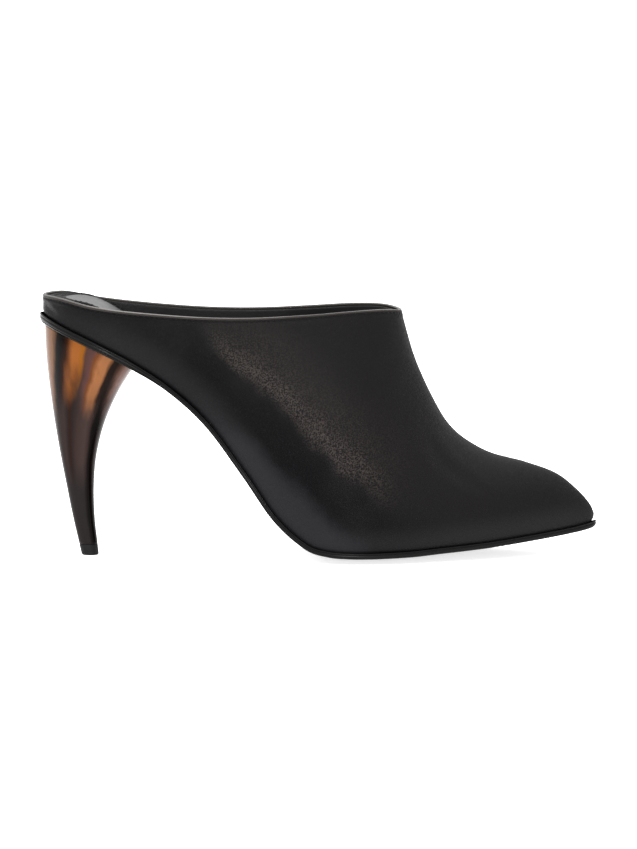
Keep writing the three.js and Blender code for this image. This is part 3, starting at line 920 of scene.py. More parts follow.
@dataclass
class Footbed:
    """The cushioned footbed, raised at the heel seat, with two pressed lines round the seat."""

    last: Last
    clearance: float = 2.15
    rows: int = 200
    columns: int = 41
    toe_x: float = 101.0
    edge_round: float = 1.5
    line_insets: tuple[float, float] = (2.6, 4.9)
    line_depths: tuple[float, float] = (0.8, 0.6)
    seat_fade: tuple[float, float] = (-78.0, -50.0)
    floor_gap: float = 0.25
    line_width: float = 0.4
    stitch_inset: float = 3.7
    stitch_sink: float = 0.02
    stitch_pitch: float = 2.4
    stitch_length: float = 1.7
    seat_up: tuple[float, float, float] = (0.35, 0.0, 0.94)
    seat_rise: float = 1.7
    rise_fade: tuple[float, float] = (-92.0, -70.0)
    fill: float = 0.9
    ring_width: float = 7.2
    ring_narrowing: float = 3.2
    ring_fade: tuple[float, float] = (-104.0, -88.0)

    def _border(self, u: Points, side: float) -> Points:
        """Finds where the footbed's top meets the inside of the wall.

        Args:
            u: Places along the outline.
            side: The side of the foot, OUTER or INNER.

        Returns:
            X and Y of each point.
        """
        feet = np.stack(self.last.outline(u, side, self.last.margin), axis=-1)
        turned = np.stack(self.last.outline(u, side, self.last.margin + 1.0), axis=-1)
        inward = (turned - feet) * self.clearance
        low, high = np.zeros_like(u), np.full_like(u, STRAIGHT_UP)
        plan = feet
        for _ in range(HALVINGS):
            middle = (low + high) / 2
            point = self.last.surface(u, middle if side < 0 else math.pi - middle)
            plan = point[:, :2] + inward
            above = point[:, 2] > self.last.heights(plan[:, 0], plan[:, 1])["bed"]
            high, low = np.where(above, middle, high), np.where(above, low, middle)
        return plan

    def _edge_distance(self, plan: Points, border: Points) -> Points:
        """Measures how far inwards of its border each point lies.

        Args:
            plan: Points in plan.
            border: Points of the border, close together.

        Returns:
            The distance from each point to the border, mm.
        """
        flat = plan.reshape(-1, 2)
        nearest = np.full(len(flat), np.inf)
        for start in range(0, len(border), 50):
            part = border[start : start + 50]
            gaps = np.linalg.norm(flat[:, None] - part[None], axis=2)
            nearest = np.minimum(nearest, gaps.min(axis=1))
        return nearest.reshape(plan.shape[:-1])

    def build(self) -> Pieces:
        """Makes the footbed and the row of stitches round its seat.

        Returns:
            The pieces by name.
        """
        u_toe = float(np.interp(self.toe_x, self.last.map_x, self.last.map_u))
        u = np.linspace(self.last.start, u_toe, self.rows)
        outer, inner = self._border(u, OUTER), self._border(u, INNER)
        share = (np.sin(np.linspace(-STRAIGHT_UP, STRAIGHT_UP, self.columns)) + 1) / 2
        plan = outer[:, None] + (inner - outer)[:, None] * share[None, :, None]
        fine = np.linspace(self.last.start, u_toe, self.rows * 4)
        border = np.vstack([self._border(fine, OUTER), self._border(fine, INNER)])
        away = self._edge_distance(plan, border)
        levels = self.last.heights(plan[..., 0], plan[..., 1])
        ramp = np.clip(1 - away / self.edge_round, 0.0, 1.0)
        top = levels["bed"] - self.edge_round * (1 - np.sqrt(1 - ramp**2))
        top = top + self.seat_rise * (1 - smoothstep(*self.rise_fade, plan[..., 0]))
        seat = 1 - smoothstep(*self.seat_fade, plan[..., 0])
        for inset, depth in zip(self.line_insets, self.line_depths):
            top = top - depth * seat * bell(away, inset, self.line_width)
        low = levels["top"] + self.floor_gap
        skin = Skin()
        upper_grid = skin.add_points(np.concatenate([plan, top[..., None]], axis=2))
        lower_grid = skin.add_points(np.concatenate([plan, low[..., None]], axis=2))
        skin.add_quads(upper_grid)
        skin.add_quads(lower_grid, flip=True)
        loops = []
        for grid in (upper_grid, lower_grid):
            around = [grid[:, 0], grid[-1, 1:], grid[-2::-1, -1], grid[0, -2::-1]]
            loops.append(np.concatenate(around))
        skin.add_quads(np.array(loops))
        ring = self.ring_width - self.ring_narrowing * smoothstep(*self.ring_fade, plan[..., 0])
        lie = np.stack([away / ring, np.zeros_like(away)], axis=-1).reshape(-1, 2)
        footbed = skin.to_object("footbed", self.last, np.vstack([lie, lie]))
        return {"footbed": footbed, "seat_stitches": self._stitches(outer, inner)}

    def dress(self, pieces: Pieces) -> None:
        """Gives the footbed its leather and thread.

        Args:
            pieces: The pieces by name.
        """
        Dressing((SOCK_PAINTED_SHEEN,), "footbed", "insole").apply(pieces["footbed"])
        Dressing((SEAT_THREAD,), "footbed").apply(pieces["seat_stitches"])

    def _stitches(self, outer: Points, inner: Points) -> bpy.types.Object:
        """Makes the stitches that follow the back of the seat, inside its edge.

        Args:
            outer: The footbed's border on the outer side.
            inner: Its border on the inner side.

        Returns:
            The new object.
        """
        line = np.vstack([inner[::-1], outer[1:]])
        line = line[line[:, 0] < self.seat_fade[0]]
        tangent = np.gradient(line, axis=0)
        tangent /= np.linalg.norm(tangent, axis=1, keepdims=True) + 1e-12
        inward = np.stack([-tangent[:, 1], tangent[:, 0]], axis=1)
        inward *= np.sign(np.sum(inward * (line.mean(axis=0) - line), axis=1, keepdims=True))
        plan = line + inward * self.stitch_inset
        z = self.last.heights(plan[:, 0], plan[:, 1])["bed"] - self.stitch_sink
        z = z + self.seat_rise * (1 - smoothstep(*self.rise_fade, plan[:, 0]))
        points = np.concatenate([plan, z[:, None]], axis=1)
        up = np.tile(self.seat_up, (len(points), 1))
        row = StitchRow(pitch=self.stitch_pitch, length=self.stitch_length)
        return row.build("seat_stitches", self.last, points, up, closed=False)


@dataclass
class Heel:
    """The resin horn and its small top piece."""

    last: Last
    lift_height: float = 4.4
    seam: float = 0.12
    sink: float = 0.5
    overhang: float = 0.35
    tuck_height: float = 7.0
    first_guess: float = 10.0
    top_share: float = 0.9
    rings: int = 96
    sides: int = 120
    lift_steps: tuple[tuple[float, float], ...] = (
        (0.0, 0.45), (0.12, 0.2), (0.35, 0.04), (0.6, 0.0), (3.8, 0.0), (4.25, 0.06), (4.4, 0.2),
    )

    def _ring(self, z: Points, turns: Points, inset: float = 0.0) -> tuple[Points, Points]:
        """Works out points of the horn's level slices.

        Args:
            z: Height of each point.
            turns: Angle of each point round the horn, 0 at the front.
            inset: How far inwards of the surface, mm.

        Returns:
            The points, and how far forward each one lies, from 0 to 1.
        """
        table = np.array(HORN, float)
        row = SmoothTable(HORN_COLUMNS, table, table[:, 0]).at(z)
        cos, sin = np.cos(turns), np.sin(turns)
        power = 2.0 / np.where(cos > 0, row["squareness"], 2.0)
        forward = np.sign(cos) * np.abs(cos) ** power
        sideways = np.sign(sin) * np.abs(sin) ** power
        reach = (row["front"] - row["back"]) / 2
        x = (row["back"] + row["front"]) / 2 + (reach - inset) * forward
        points = np.stack([x, (row["half"] - inset) * sideways, np.broadcast_to(z, x.shape)], axis=-1)
        return points, (forward + 1) / 2

    def build(self) -> Pieces:
        """Makes the horn and its top piece.

        Returns:
            The pieces by name.
        """
        turns = np.linspace(0.0, 2 * math.pi, self.sides, endpoint=False)
        bottom = self.lift_height + self.seam
        top = np.full(self.sides, self.last.heel_height - self.first_guess)
        for _ in range(HALVINGS):
            points, _ = self._ring(top, turns)
            top = (top + self.last.heights(points[:, 0], points[:, 1])["under"] + self.sink) / 2
        share = np.linspace(0.0, 1.0, self.rings)[:, None]
        z = bottom + (top[None] - bottom) * share
        points, forward = self._ring(z, np.broadcast_to(turns, z.shape))
        points = self._tuck(points, top)
        skin = Skin()
        skin.add_tube(points)
        height = points[..., 2] / self.last.instep_height
        uv = np.stack([forward, height], axis=-1).reshape(-1, 2)
        ends = [[0.5, bottom / self.last.instep_height], [0.5, self.top_share]]
        uv = np.vstack([uv, ends])
        horn = skin.to_object("heel_horn", self.last, uv)
        return {"heel_horn": horn, "heel_lift": self._lift(turns)}

    def dress(self, pieces: Pieces) -> None:
        """Gives the horn its resin and the top piece its rubber."""
        Dressing((HornResin(),), "resin", "heel").apply(pieces["heel_horn"])
        Dressing((Rubber(),), "rubber", "top_piece").apply(pieces["heel_lift"])

    def _tuck(self, points: Points, top: Points) -> Points:
        """Draws the horn's upper end in under the sole's edge.

        Args:
            points: Points of the rings.
            top: Height of the horn's upper end on each side.

        Returns:
            The points, moved inwards where the sole would not cover them.
        """
        u = np.interp(points[..., 0], self.last.map_x, self.last.map_u)
        row = self.last.table.at(u)
        room = row["half"] - row["under"] - self.overhang
        across = points[..., 1] - row["shift"]
        inside = np.sign(across) * np.minimum(np.abs(across), np.maximum(room, 0.0))
        near = smoothstep(-self.tuck_height, 0.0, points[..., 2] - top)
        moved = points.copy()
        moved[..., 1] = row["shift"] + across + (inside - across) * near
        return moved

    def _lift(self, turns: Points) -> bpy.types.Object:
        """Makes the top piece with softened arrises.

        Args:
            turns: Angles of the points round it.

        Returns:
            The new object.
        """
        skin = Skin()
        rings = [self._ring(np.full(self.sides, z), turns, inset)[0] for z, inset in self.lift_steps]
        skin.add_tube(np.array(rings))
        return skin.to_object("heel_lift", self.last)


def shade(red: int, green: int, blue: int) -> Colour:
    """Returns a colour given by its eight-bit screen values as linear light."""
    parts = (v / 255 for v in (red, green, blue))
    return (*(((v + 0.055) / 1.055) ** 2.4 if v > 10 / 255 else v / 12.92 for v in parts), 1.0)


def lit(red: int, green: int, blue: int) -> Colour:
    """Returns the colour that the studio's light shows as these eight-bit screen values."""
    shown = shade(red, green, blue)
    return (*(part / STUDIO_LIGHT for part in shown[:3]), 1.0)


class Sheet:
    """The node tree of a material or a world, which adds each node in one way."""

    def __init__(self, owner: bpy.types.Material | bpy.types.World) -> None:
        """Empties the owner's tree.

        Args:
            owner: The material or world.
        """
        owner.use_nodes = True
        self.owner = owner
        self.tree = owner.node_tree
        self.tree.nodes.clear()

    def add(
        self, kind: str, settings: dict | None = None, inputs: dict | None = None
    ) -> bpy.types.Node:
        """Adds a node.

        Args:
            kind: The node's type.
            settings: Its properties, set first; "stops" holds a ramp's places and colours.
            inputs: A value or a Signal for each socket, by name or number.

        Returns:
            The new node.
        """
        node = self.tree.nodes.new(kind)
        for name, value in (settings or {}).items():
            if name == "stops":
                self._set_stops(node.color_ramp, value)
            else:
                setattr(node, name, value)
        for key, value in (inputs or {}).items():
            if isinstance(value, Signal):
                self.tree.links.new(value.socket, node.inputs[key])
            else:
                node.inputs[key].default_value = value
        return node

    def signal(
        self, kind: str, settings: dict | None = None, inputs: dict | None = None, out: int | str = 0
    ) -> "Signal":
        """Adds a node and returns one of its outputs."""
        return Signal(self, self.add(kind, settings, inputs).outputs[out])

    def place(self) -> "Signal":
        """Returns the place on the piece, in metres."""
        return self.signal("ShaderNodeTexCoord", {}, {}, "Object")

    def lie(self) -> "Signal":
        """Returns the pair of values that a piece's points carry."""
        return self.signal("ShaderNodeUVMap", {"uv_map": LIE})

    def blend(
        self, factor: "Signal | float", first: "Signal | Colour", second: "Signal | Colour"
    ) -> "Signal":
        """Returns first where factor is 0 and second where it is 1, as colours."""
        return self.signal("ShaderNodeMix", {"data_type": "RGBA"}, {0: factor, 6: first, 7: second}, 2)

    def ramp(self, factor: "Signal", stops: list[tuple[float, Colour]]) -> "Signal":
        """Returns the colour that a ramp gives to factor."""
        return self.signal("ShaderNodeValToRGB", {"stops": stops}, {0: factor})

    def noise(
        self, place: "Signal", scale: float, detail: float = 2.0, roughness: float = 0.5
    ) -> "Signal":
        """Returns a cloudy pattern between about 0 and 1."""
        inputs = {"Vector": place, "Scale": scale, "Detail": detail, "Roughness": roughness}
        return self.signal("ShaderNodeTexNoise", {}, inputs, "Fac")

    def cells(self, place: "Signal", scale: float) -> "Signal":
        """Returns the distance to the border between the cells of a grain."""
        inputs = {"Vector": place, "Scale": scale}
        return self.signal("ShaderNodeTexVoronoi", {"feature": "DISTANCE_TO_EDGE"}, inputs, "Distance")

    def stretched(self, place: "Signal", scale: tuple[float, float, float]) -> "Signal":
        """Returns a place scaled along each axis."""
        inputs = {0: place, 1: scale}
        return self.signal("ShaderNodeVectorMath", {"operation": "MULTIPLY"}, inputs)

    def bump(self, height: "Signal", distance: float, strength: float) -> "Signal":
        """Returns the normal that a height in parts of distance gives."""
        return self.signal(
            "ShaderNodeBump", {}, {"Height": height, "Distance": distance, "Strength": strength}
        )

    def finish(self, inputs: dict) -> bpy.types.Material:
        """Closes the tree with a surface shader.

        Args:
            inputs: A value or a Signal for each of its sockets.

        Returns:
            The material.
        """
        surface = self.signal("ShaderNodeBsdfPrincipled", {}, inputs)
        self.add("ShaderNodeOutputMaterial", {}, {"Surface": surface})
        return self.owner

    def finish_two(self, factor: "Signal", first: dict, second: dict) -> bpy.types.Material:
        """Closes the tree with two surface shaders.

        Args:
            factor: 0 where the first shows and 1 where the second does.
            first: Sockets of the first shader.
            second: Sockets of the second shader.

        Returns:
            The material.
        """
        shaders = {
            0: factor,
            1: self.signal("ShaderNodeBsdfPrincipled", {}, first),
            2: self.signal("ShaderNodeBsdfPrincipled", {}, second),
        }
        both = self.signal("ShaderNodeMixShader", {}, shaders)
        self.add("ShaderNodeOutputMaterial", {}, {"Surface": both})
        return self.owner

    @staticmethod
    def _set_stops(ramp: bpy.types.ColorRamp, stops: list[tuple[float, Colour]]) -> None:
        """Gives a ramp its stops.

        Args:
            ramp: The ramp.
            stops: Place and colour of each stop.
        """
        while len(ramp.elements) > 1:
            ramp.elements.remove(ramp.elements[-1])
        ramp.elements[0].position, ramp.elements[0].color = stops[0]
        for place, colour in stops[1:]:
            ramp.elements.new(place).color = colour


class Signal:
    """An output socket that takes part in arithmetic."""

    def __init__(self, sheet: Sheet, socket: bpy.types.NodeSocket) -> None:
        """Wraps a socket of a sheet."""
        self.sheet = sheet
        self.socket = socket

    def _math(self, operation: str, first: "Signal | float", second: "Signal | float") -> "Signal":
        """Returns the result of a Math node."""
        return self.sheet.signal("ShaderNodeMath", {"operation": operation}, {0: first, 1: second})

    def __add__(self, other: "Signal | float") -> "Signal":
        """Returns the sum."""
        return self._math("ADD", self, other)

    __radd__ = __add__

    def __sub__(self, other: "Signal | float") -> "Signal":
        """Returns the difference."""
        return self._math("SUBTRACT", self, other)

    def __rsub__(self, other: float) -> "Signal":
        """Returns the difference from a number."""
        return self._math("SUBTRACT", other, self)

    def __mul__(self, other: "Signal | float") -> "Signal":
        """Returns the product."""
        return self._math("MULTIPLY", self, other)

    __rmul__ = __mul__

    def between(self, low: float, high: float) -> "Signal":
        """Returns 0 below low, 1 above high and a smooth rise between."""
        inputs = {"Value": self, "From Min": low, "From Max": high}
        return self.sheet.signal("ShaderNodeMapRange", {"interpolation_type": "SMOOTHSTEP"}, inputs)

    def part(self, name: str) -> "Signal":
        """Returns one axis of a vector."""
        return self.sheet.signal("ShaderNodeSeparateXYZ", {}, {0: self}, name)


@dataclass(frozen=True)
class Leather:
    """Dyed leather with a fine grain and soft cloudy sheen."""

    name: str
    deep: Colour
    worn_and_lit: Colour
    roughness: float
    gloss: float
    grain: float
    grain_size: float = 0.55
    grain_height: float = 0.13
    pore_width: float = 0.22
    speck_range: tuple[float, float] = (0.42, 0.62)
    cloud_scale: float = 26.0
    cloud_range: tuple[float, float] = (0.35, 0.75)
    vein_scale: float = 420.0
    vein_stretch: tuple[float, float, float] = (1.0, 0.6, 0.35)
    rub_scale: float = 60.0
    rub_range: tuple[float, float] = (0.55, 0.8)
    rub_share: float = 0.4

    def make(self) -> bpy.types.Material:
        """Makes the material.

        Returns:
            The new material.
        """
        sheet = Sheet(bpy.data.materials.new(self.name))
        place = sheet.place()
        per_metre = 1.0 / (self.grain_size * MM)
        pores = sheet.cells(place, per_metre)
        fine = sheet.noise(place, per_metre * 1.7, 3.0, 0.6)
        specks = sheet.noise(place, per_metre, 2.0, 0.6)
        clouds = sheet.noise(place, self.cloud_scale, 3.0, 0.55)
        veins = sheet.noise(sheet.stretched(place, self.vein_stretch), self.vein_scale)
        # For the upper's calf this share lays a speckled painted highlight band; for the other
        # leathers it is lighter rubbed spots at random.
        rub_and_highlight = self.rub_and_highlight(sheet, place)
        speckled = rub_and_highlight * specks.between(*self.speck_range)
        colour = sheet.blend(speckled, self.tone(sheet, place), self.sheen())
        height = pores.between(0.0, self.pore_width) * 0.45 + fine * 0.5 + veins * 0.25
        rough = self.roughness + (specks - 0.5) * 0.3 + (clouds - 0.5) * 0.12 - rub_and_highlight * 0.1
        return self.close(sheet, {
            "Base Color": colour,
            "Roughness": rough,
            "Specular IOR Level": self.gloss,
            "Normal": sheet.bump(height, self.grain_height * MM, self.grain),
        })

    def close(self, sheet: Sheet, inputs: dict) -> bpy.types.Material:
        """Returns the finished material."""
        return sheet.finish(inputs)

    def tone(self, sheet: Sheet, place: "Signal") -> "Signal":
        """Returns the leather's colour before any rubbing."""
        clouds = sheet.noise(place, self.cloud_scale, 3.0, 0.55)
        return sheet.blend(clouds.between(*self.cloud_range), self.deep, self.worn_and_lit)

    def rub_and_highlight(self, sheet: Sheet, place: "Signal") -> "Signal":
        """Returns where the surface is rubbed lighter, from 0 to 1."""
        return sheet.noise(place, self.rub_scale).between(*self.rub_range) * self.rub_share

    def sheen(self) -> Colour:
        """Returns the colour of the rubbed places."""
        return self.worn_and_lit


@dataclass(frozen=True)
class QuarterLeather(Leather):
    """The upper's leather, painted with shade and a highlight along a slanting line over the waist of
    the foot.
    """

    # Colour of the painted highlight band.
    painted_highlight: Colour = shade(58, 52, 49)
    # Painted reflection of the floor, in a band just above the feather.
    painted_floor_reflection: Colour = shade(27, 27, 28)
    # Painted bounce light, cool and pale, low on the back of the quarter.
    glow: Colour = shade(31, 31, 33)
    # Painted highlight along the rim, just below the collar.
    rim: Colour = shade(44, 41, 39)
    rim_share: float = 0.0095
    feather_range: tuple[float, float] = (0.0, 0.035)
    feather_fade: tuple[float, float] = (0.16, 0.05)
    line_start: tuple[float, float] = (-48.0, 95.0)
    line_end: tuple[float, float] = (24.0, 28.0)
    line_waver: float = 12.0
    waver_scale: float = 45.0
    # Where the painted shade behind the slanting line gives way to lighter leather in front, mm.
    front_rise: tuple[float, float] = (-14.0, 12.0)
    painted_bounce_rise: tuple[float, float] = (-16.0, -26.0)
    painted_bounce_fall: tuple[float, float] = (-62.0, -44.0)
    painted_bounce_start: tuple[float, float] = (0.15, 0.45)
    ridge_rise: tuple[float, float] = (-5.0, 0.0)
    ridge_fall: tuple[float, float] = (9.0, 1.0)
    ridge_share: float = 0.42
    band_rise: tuple[float, float] = (-6.0, 3.0)
    band_fall: tuple[float, float] = (30.0, 4.0)
    band_share: float = 0.24
    band_start: tuple[float, float] = (-0.05, 0.25)
    band_end: tuple[float, float] = (1.15, 0.8)

    def tone(self, sheet: Sheet, place: "Signal") -> "Signal":
        """Colours the leather cool and deep low at the back, and warmer in front.

        Args:
            sheet: The material's sheet.
            place: Place on the piece.

        Returns:
            The colour before the painted highlight band.
        """
        across, along = self._line(sheet, place)
        clouds = sheet.noise(place, self.cloud_scale, 3.0, 0.55)
        lie = sheet.lie()
        above_feather, below_rim = lie.part("X"), lie.part("Y")
        band = above_feather.between(*self.feather_range) * above_feather.between(*self.feather_fade)
        # Painted shade behind and below the slanting line, lighter leather in front of it.
        colour = sheet.blend(across.between(*self.front_rise), self.deep, self.worn_and_lit)
        colour = sheet.blend(clouds.between(0.45, 0.8) * 0.5, colour, self.worn_and_lit)
        # Painted floor reflection in a band just above the feather.
        colour = sheet.blend(band * 0.55, colour, self.painted_floor_reflection)
        # Painted bounce light, cool and pale, low at the back.
        low = across.between(*self.painted_bounce_rise) * across.between(*self.painted_bounce_fall)
        low = low * along.between(*self.painted_bounce_start)
        colour = sheet.blend(low * 0.7, colour, self.glow)
        # Painted highlight in a thin strip along the rim below the collar.
        return sheet.blend(below_rim.between(self.rim_share, self.rim_share * 0.6), colour, self.rim)

    def rub_and_highlight(self, sheet: Sheet, place: "Signal") -> "Signal":
        """Lays the painted highlight band, steep on its lower side and soft on its upper one.

        Args:
            sheet: The material's sheet.
            place: Place on the piece.

        Returns:
            How strongly the painted highlight shows, from 0 to 1.
        """
        across, along = self._line(sheet, place)
        ridge = across.between(*self.ridge_rise) * across.between(*self.ridge_fall)
        band = across.between(*self.band_rise) * across.between(*self.band_fall)
        both = band * self.band_share + ridge * self.ridge_share
        return both * along.between(*self.band_start) * along.between(*self.band_end)

    def sheen(self) -> Colour:
        """Returns the colour of the painted highlight band."""
        return self.painted_highlight

    def _line(self, sheet: Sheet, place: "Signal") -> tuple["Signal", "Signal"]:
        """Measures places against the slanting line.

        Args:
            sheet: The material's sheet.
            place: Place on the piece.

        Returns:
            The distance above the line in mm, and the share along it.
        """
        reach_x = self.line_end[0] - self.line_start[0]
        reach_z = self.line_end[1] - self.line_start[1]
        length = math.hypot(reach_x, reach_z)
        from_x = place.part("X") * (1 / MM) - self.line_start[0]
        from_z = place.part("Z") * (1 / MM) - self.line_start[1]
        along = (from_x * reach_x + from_z * reach_z) * (1 / length**2)
        across = (from_z * reach_x - from_x * reach_z) * (1 / length)
        waver = (sheet.noise(place, self.waver_scale, 3.0, 0.6) - 0.5) * self.line_waver
        return across + waver, along


@dataclass(frozen=True)
class SockLeather(Leather):
    """The footbed's soft black leather, painted grey as a sheen, with a black binding round its edge.
    """

    binding: Colour = shade(9, 9, 9)
    binding_gloss: float = 0.03
    binding_edge: tuple[float, float] = (0.97, 1.03)

    def close(self, sheet: Sheet, inputs: dict) -> bpy.types.Material:
        """Lays the black binding over the edge of the leather painted grey as a sheen.

        Args:
            sheet: The material's sheet.
            inputs: Sockets of the leather painted grey as a sheen.

        Returns:
            The finished material.
        """
        inward = sheet.lie().part("X")
        bound = dict(inputs)
        bound["Base Color"] = self.binding
        bound["Specular IOR Level"] = self.binding_gloss
        return sheet.finish_two(inward.between(*self.binding_edge), bound, inputs)


@dataclass(frozen=True)
class EdgeInk:
    """Burnished black edge dressing of the sole."""

    name: str
    colour: Colour
    roughness: float
    gloss: float
    worn_and_lit: Colour = shade(16, 15, 15)
    drag_scale: float = 700.0
    drag_stretch: tuple[float, float, float] = (0.25, 0.25, 1.6)
    dust_scale: float = 1500.0
    height: float = 0.05

    def make(self) -> bpy.types.Material:
        """Makes the material.

        Returns:
            The new material.
        """
        sheet = Sheet(bpy.data.materials.new(self.name))
        place = sheet.place()
        drag = sheet.noise(sheet.stretched(place, self.drag_stretch), self.drag_scale)
        dust = sheet.noise(place, self.dust_scale, 1.0)
        return sheet.finish({
            "Base Color": sheet.blend(drag, self.colour, self.worn_and_lit),
            "Roughness": self.roughness + (drag - 0.5) * 0.2 + (dust - 0.5) * 0.1,
            "Specular IOR Level": self.gloss,
            "Normal": sheet.bump(drag + dust * 0.3, self.height * MM, 0.35),
        })


@dataclass(frozen=True)
class Thread:
    """Twisted black sewing thread."""

    name: str
    dark: Colour
    light: Colour
    gloss: float = 0.1
    twist_scale: float = 2600.0
    twist_stretch: tuple[float, float, float] = (1.0, 1.0, 2.5)
    height: float = 0.06

    def make(self) -> bpy.types.Material:
        """Makes the material.

        Returns:
            The new material.
        """
        sheet = Sheet(bpy.data.materials.new(self.name))
        place = sheet.place()
        twist = sheet.noise(sheet.stretched(place, self.twist_stretch), self.twist_scale)
        return sheet.finish({
            "Base Color": sheet.blend(twist, self.dark, self.light),
            "Roughness": 0.5 + (twist - 0.5) * 0.2,
            "Specular IOR Level": self.gloss,
            "Normal": sheet.bump(twist, self.height * MM, 0.6),
        })


class HornShade(Enum):
    """The colours that run through the resin."""

    TAN = lit(134, 92, 64)
    UMBER = lit(10, 5, 4)
    BROWN = lit(46, 22, 10)
    CHESTNUT = lit(118, 68, 34)
    AMBER = lit(160, 94, 42)
    # Smoke and plum paint a softbox's reflection as a wide mauve-grey band.
    HONEY = lit(152, 90, 18)
    SOFTBOX_REFLECTION_SMOKE = lit(80, 54, 48)
    SOFTBOX_REFLECTION_PLUM = lit(92, 62, 58)
    TOFFEE = lit(168, 110, 70)
    OLIVE = lit(32, 20, 14)
    RUSSET = lit(84, 56, 43)
    # Rose paints the reflection of the white room along the horn's front edge.
    EDGE_REFLECTION_ROSE = lit(142, 104, 92)
    ASH = lit(70, 56, 53)
    DUSK = lit(58, 44, 41)
    SOOT = lit(40, 32, 31)
    SLATE = lit(42, 37, 37)
    COAL = lit(12, 7, 6)


# Streaks across the horn from its back (0) to its front (1): high up, low down and at the tip.
HIGH_STREAKS = (
    (0.00, HornShade.TAN), (0.065, HornShade.TAN), (0.115, HornShade.UMBER), (0.165, HornShade.UMBER),
    (0.205, HornShade.BROWN), (0.24, HornShade.CHESTNUT), (0.28, HornShade.AMBER),
    (0.34, HornShade.AMBER), (0.395, HornShade.HONEY), (0.43, HornShade.SOFTBOX_REFLECTION_SMOKE),
    (0.50, HornShade.SOFTBOX_REFLECTION_PLUM), (0.545, HornShade.CHESTNUT), (0.60, HornShade.TOFFEE),
    (0.69, HornShade.TOFFEE), (0.735, HornShade.OLIVE), (0.81, HornShade.OLIVE),
    (0.86, HornShade.RUSSET), (0.92, HornShade.EDGE_REFLECTION_ROSE), (1.00, HornShade.EDGE_REFLECTION_ROSE),
)
LOW_STREAKS = (
    (0.00, HornShade.ASH), (0.07, HornShade.SOOT), (0.20, HornShade.DUSK), (0.27, HornShade.SOOT),
    (0.32, HornShade.BROWN), (0.37, HornShade.SOOT), (0.46, HornShade.DUSK), (0.66, HornShade.ASH),
    (0.73, HornShade.DUSK), (0.79, HornShade.COAL), (0.88, HornShade.COAL), (1.00, HornShade.ASH),
)
TIP_STREAKS = (
    (0.00, HornShade.SLATE), (0.66, HornShade.SLATE), (0.78, HornShade.COAL), (0.90, HornShade.COAL),
    (1.00, HornShade.SLATE),
)


@dataclass(frozen=True)
class HornResin:
    """Polished resin with amber streaks and smoke streaks that are a painted softbox reflection, a
    painted reflection along the front edge, all darkening towards the tip.
    """

    name: str = "horn_resin"
    lean: float = 0.07
    waver: float = 0.045
    fade_low: float = 0.52
    fade_high: float = 0.73
    straight_at: float = 0.86
    amber_start: tuple[float, float] = (0.16, 0.28)
    amber_end: tuple[float, float] = (0.5, 0.42)
    amber_drop: float = 0.07
    tip_fade: tuple[float, float] = (0.40, 0.24)
    flame_scale: float = 190.0
    flame_stretch: tuple[float, float, float] = (1.0, 1.0, 0.16)
    wave_scale: float = 90.0
    wave_stretch: tuple[float, float, float] = (1.0, 1.0, 0.5)
    veil_share: float = 0.35
    wave_height: float = 0.08

    def make(self) -> bpy.types.Material:
        """Makes the material.

        Returns:
            The new material.
        """
        sheet = Sheet(bpy.data.materials.new(self.name))
        lie = sheet.lie()
        place = sheet.place()
        back_to_front, height = lie.part("X"), lie.part("Y")
        flame = sheet.noise(sheet.stretched(place, self.flame_stretch), self.flame_scale)
        waves = sheet.noise(sheet.stretched(place, self.wave_stretch), self.wave_scale)
        middle = back_to_front * (1.0 - back_to_front) * 4.0
        moved = back_to_front + middle * (self.straight_at - height) * self.lean
        moved = moved + ((flame - 0.5) * 0.7 + (waves - 0.5)) * self.waver * 2.0
        high, low, tip = (
            sheet.ramp(moved, [(place, streak.value) for place, streak in streaks])
            for streaks in (HIGH_STREAKS, LOW_STREAKS, TIP_STREAKS)
        )
        amber = moved.between(*self.amber_start) * moved.between(*self.amber_end)
        level = height - amber * self.amber_drop + (flame - 0.5) * 0.2 + (waves - 0.5) * 0.08
        colour = sheet.blend(level.between(self.fade_low, self.fade_high), low, high)
        colour = sheet.blend(height.between(*self.tip_fade), colour, tip)
        veil = flame.between(0.55, 0.8) * level.between(0.45, 0.7) * self.veil_share
        colour = sheet.blend(veil, colour, HornShade.UMBER.value)
        return sheet.finish({
            "Base Color": colour,
            "Roughness": 0.2 + (waves - 0.5) * 0.06,
            "Specular IOR Level": 0.03,
            "Coat Weight": 0.02,
            "Coat Roughness": 0.05,
            "Normal": sheet.bump(waves, self.wave_height * MM, 0.25),
        })


@dataclass(frozen=True)
class Rubber:
    """Hard black rubber of the top piece."""

    name: str = "lift_rubber"
    black: Colour = shade(8, 7, 7)
    grey: Colour = shade(18, 17, 17)
    grit_scale: float = 2200.0
    rub_scale: float = 300.0
    height: float = 0.06

    def make(self) -> bpy.types.Material:
        """Makes the material.

        Returns:
            The new material.
        """
        sheet = Sheet(bpy.data.materials.new(self.name))
        place = sheet.place()
        grit = sheet.noise(place, self.grit_scale, 3.0, 0.6)
        rub_and_highlight = sheet.noise(place, self.rub_scale)
        return sheet.finish({
            "Base Color": sheet.blend(rub_and_highlight, self.black, self.grey),
            "Roughness": 0.6 + (grit - 0.5) * 0.2,
            "Specular IOR Level": 0.12,
            "Normal": sheet.bump(grit, self.height * MM, 0.4),
        })


@dataclass(frozen=True)
class PaleFloor:
    """Plain matt floor, lit a little from below."""

    name: str = "pale_floor"
    colour: Colour = (0.93, 0.93, 0.93, 1.0)
    glow: float = 0.7

    def make(self) -> bpy.types.Material:
        """Makes the material.

        Returns:
            The new material.
        """
        sheet = Sheet(bpy.data.materials.new(self.name))
        return sheet.finish({
            "Base Color": self.colour,
            "Roughness": 0.9,
            "Specular IOR Level": 0.0,
            "Emission Color": WHITE,
            "Emission Strength": self.glow,
        })


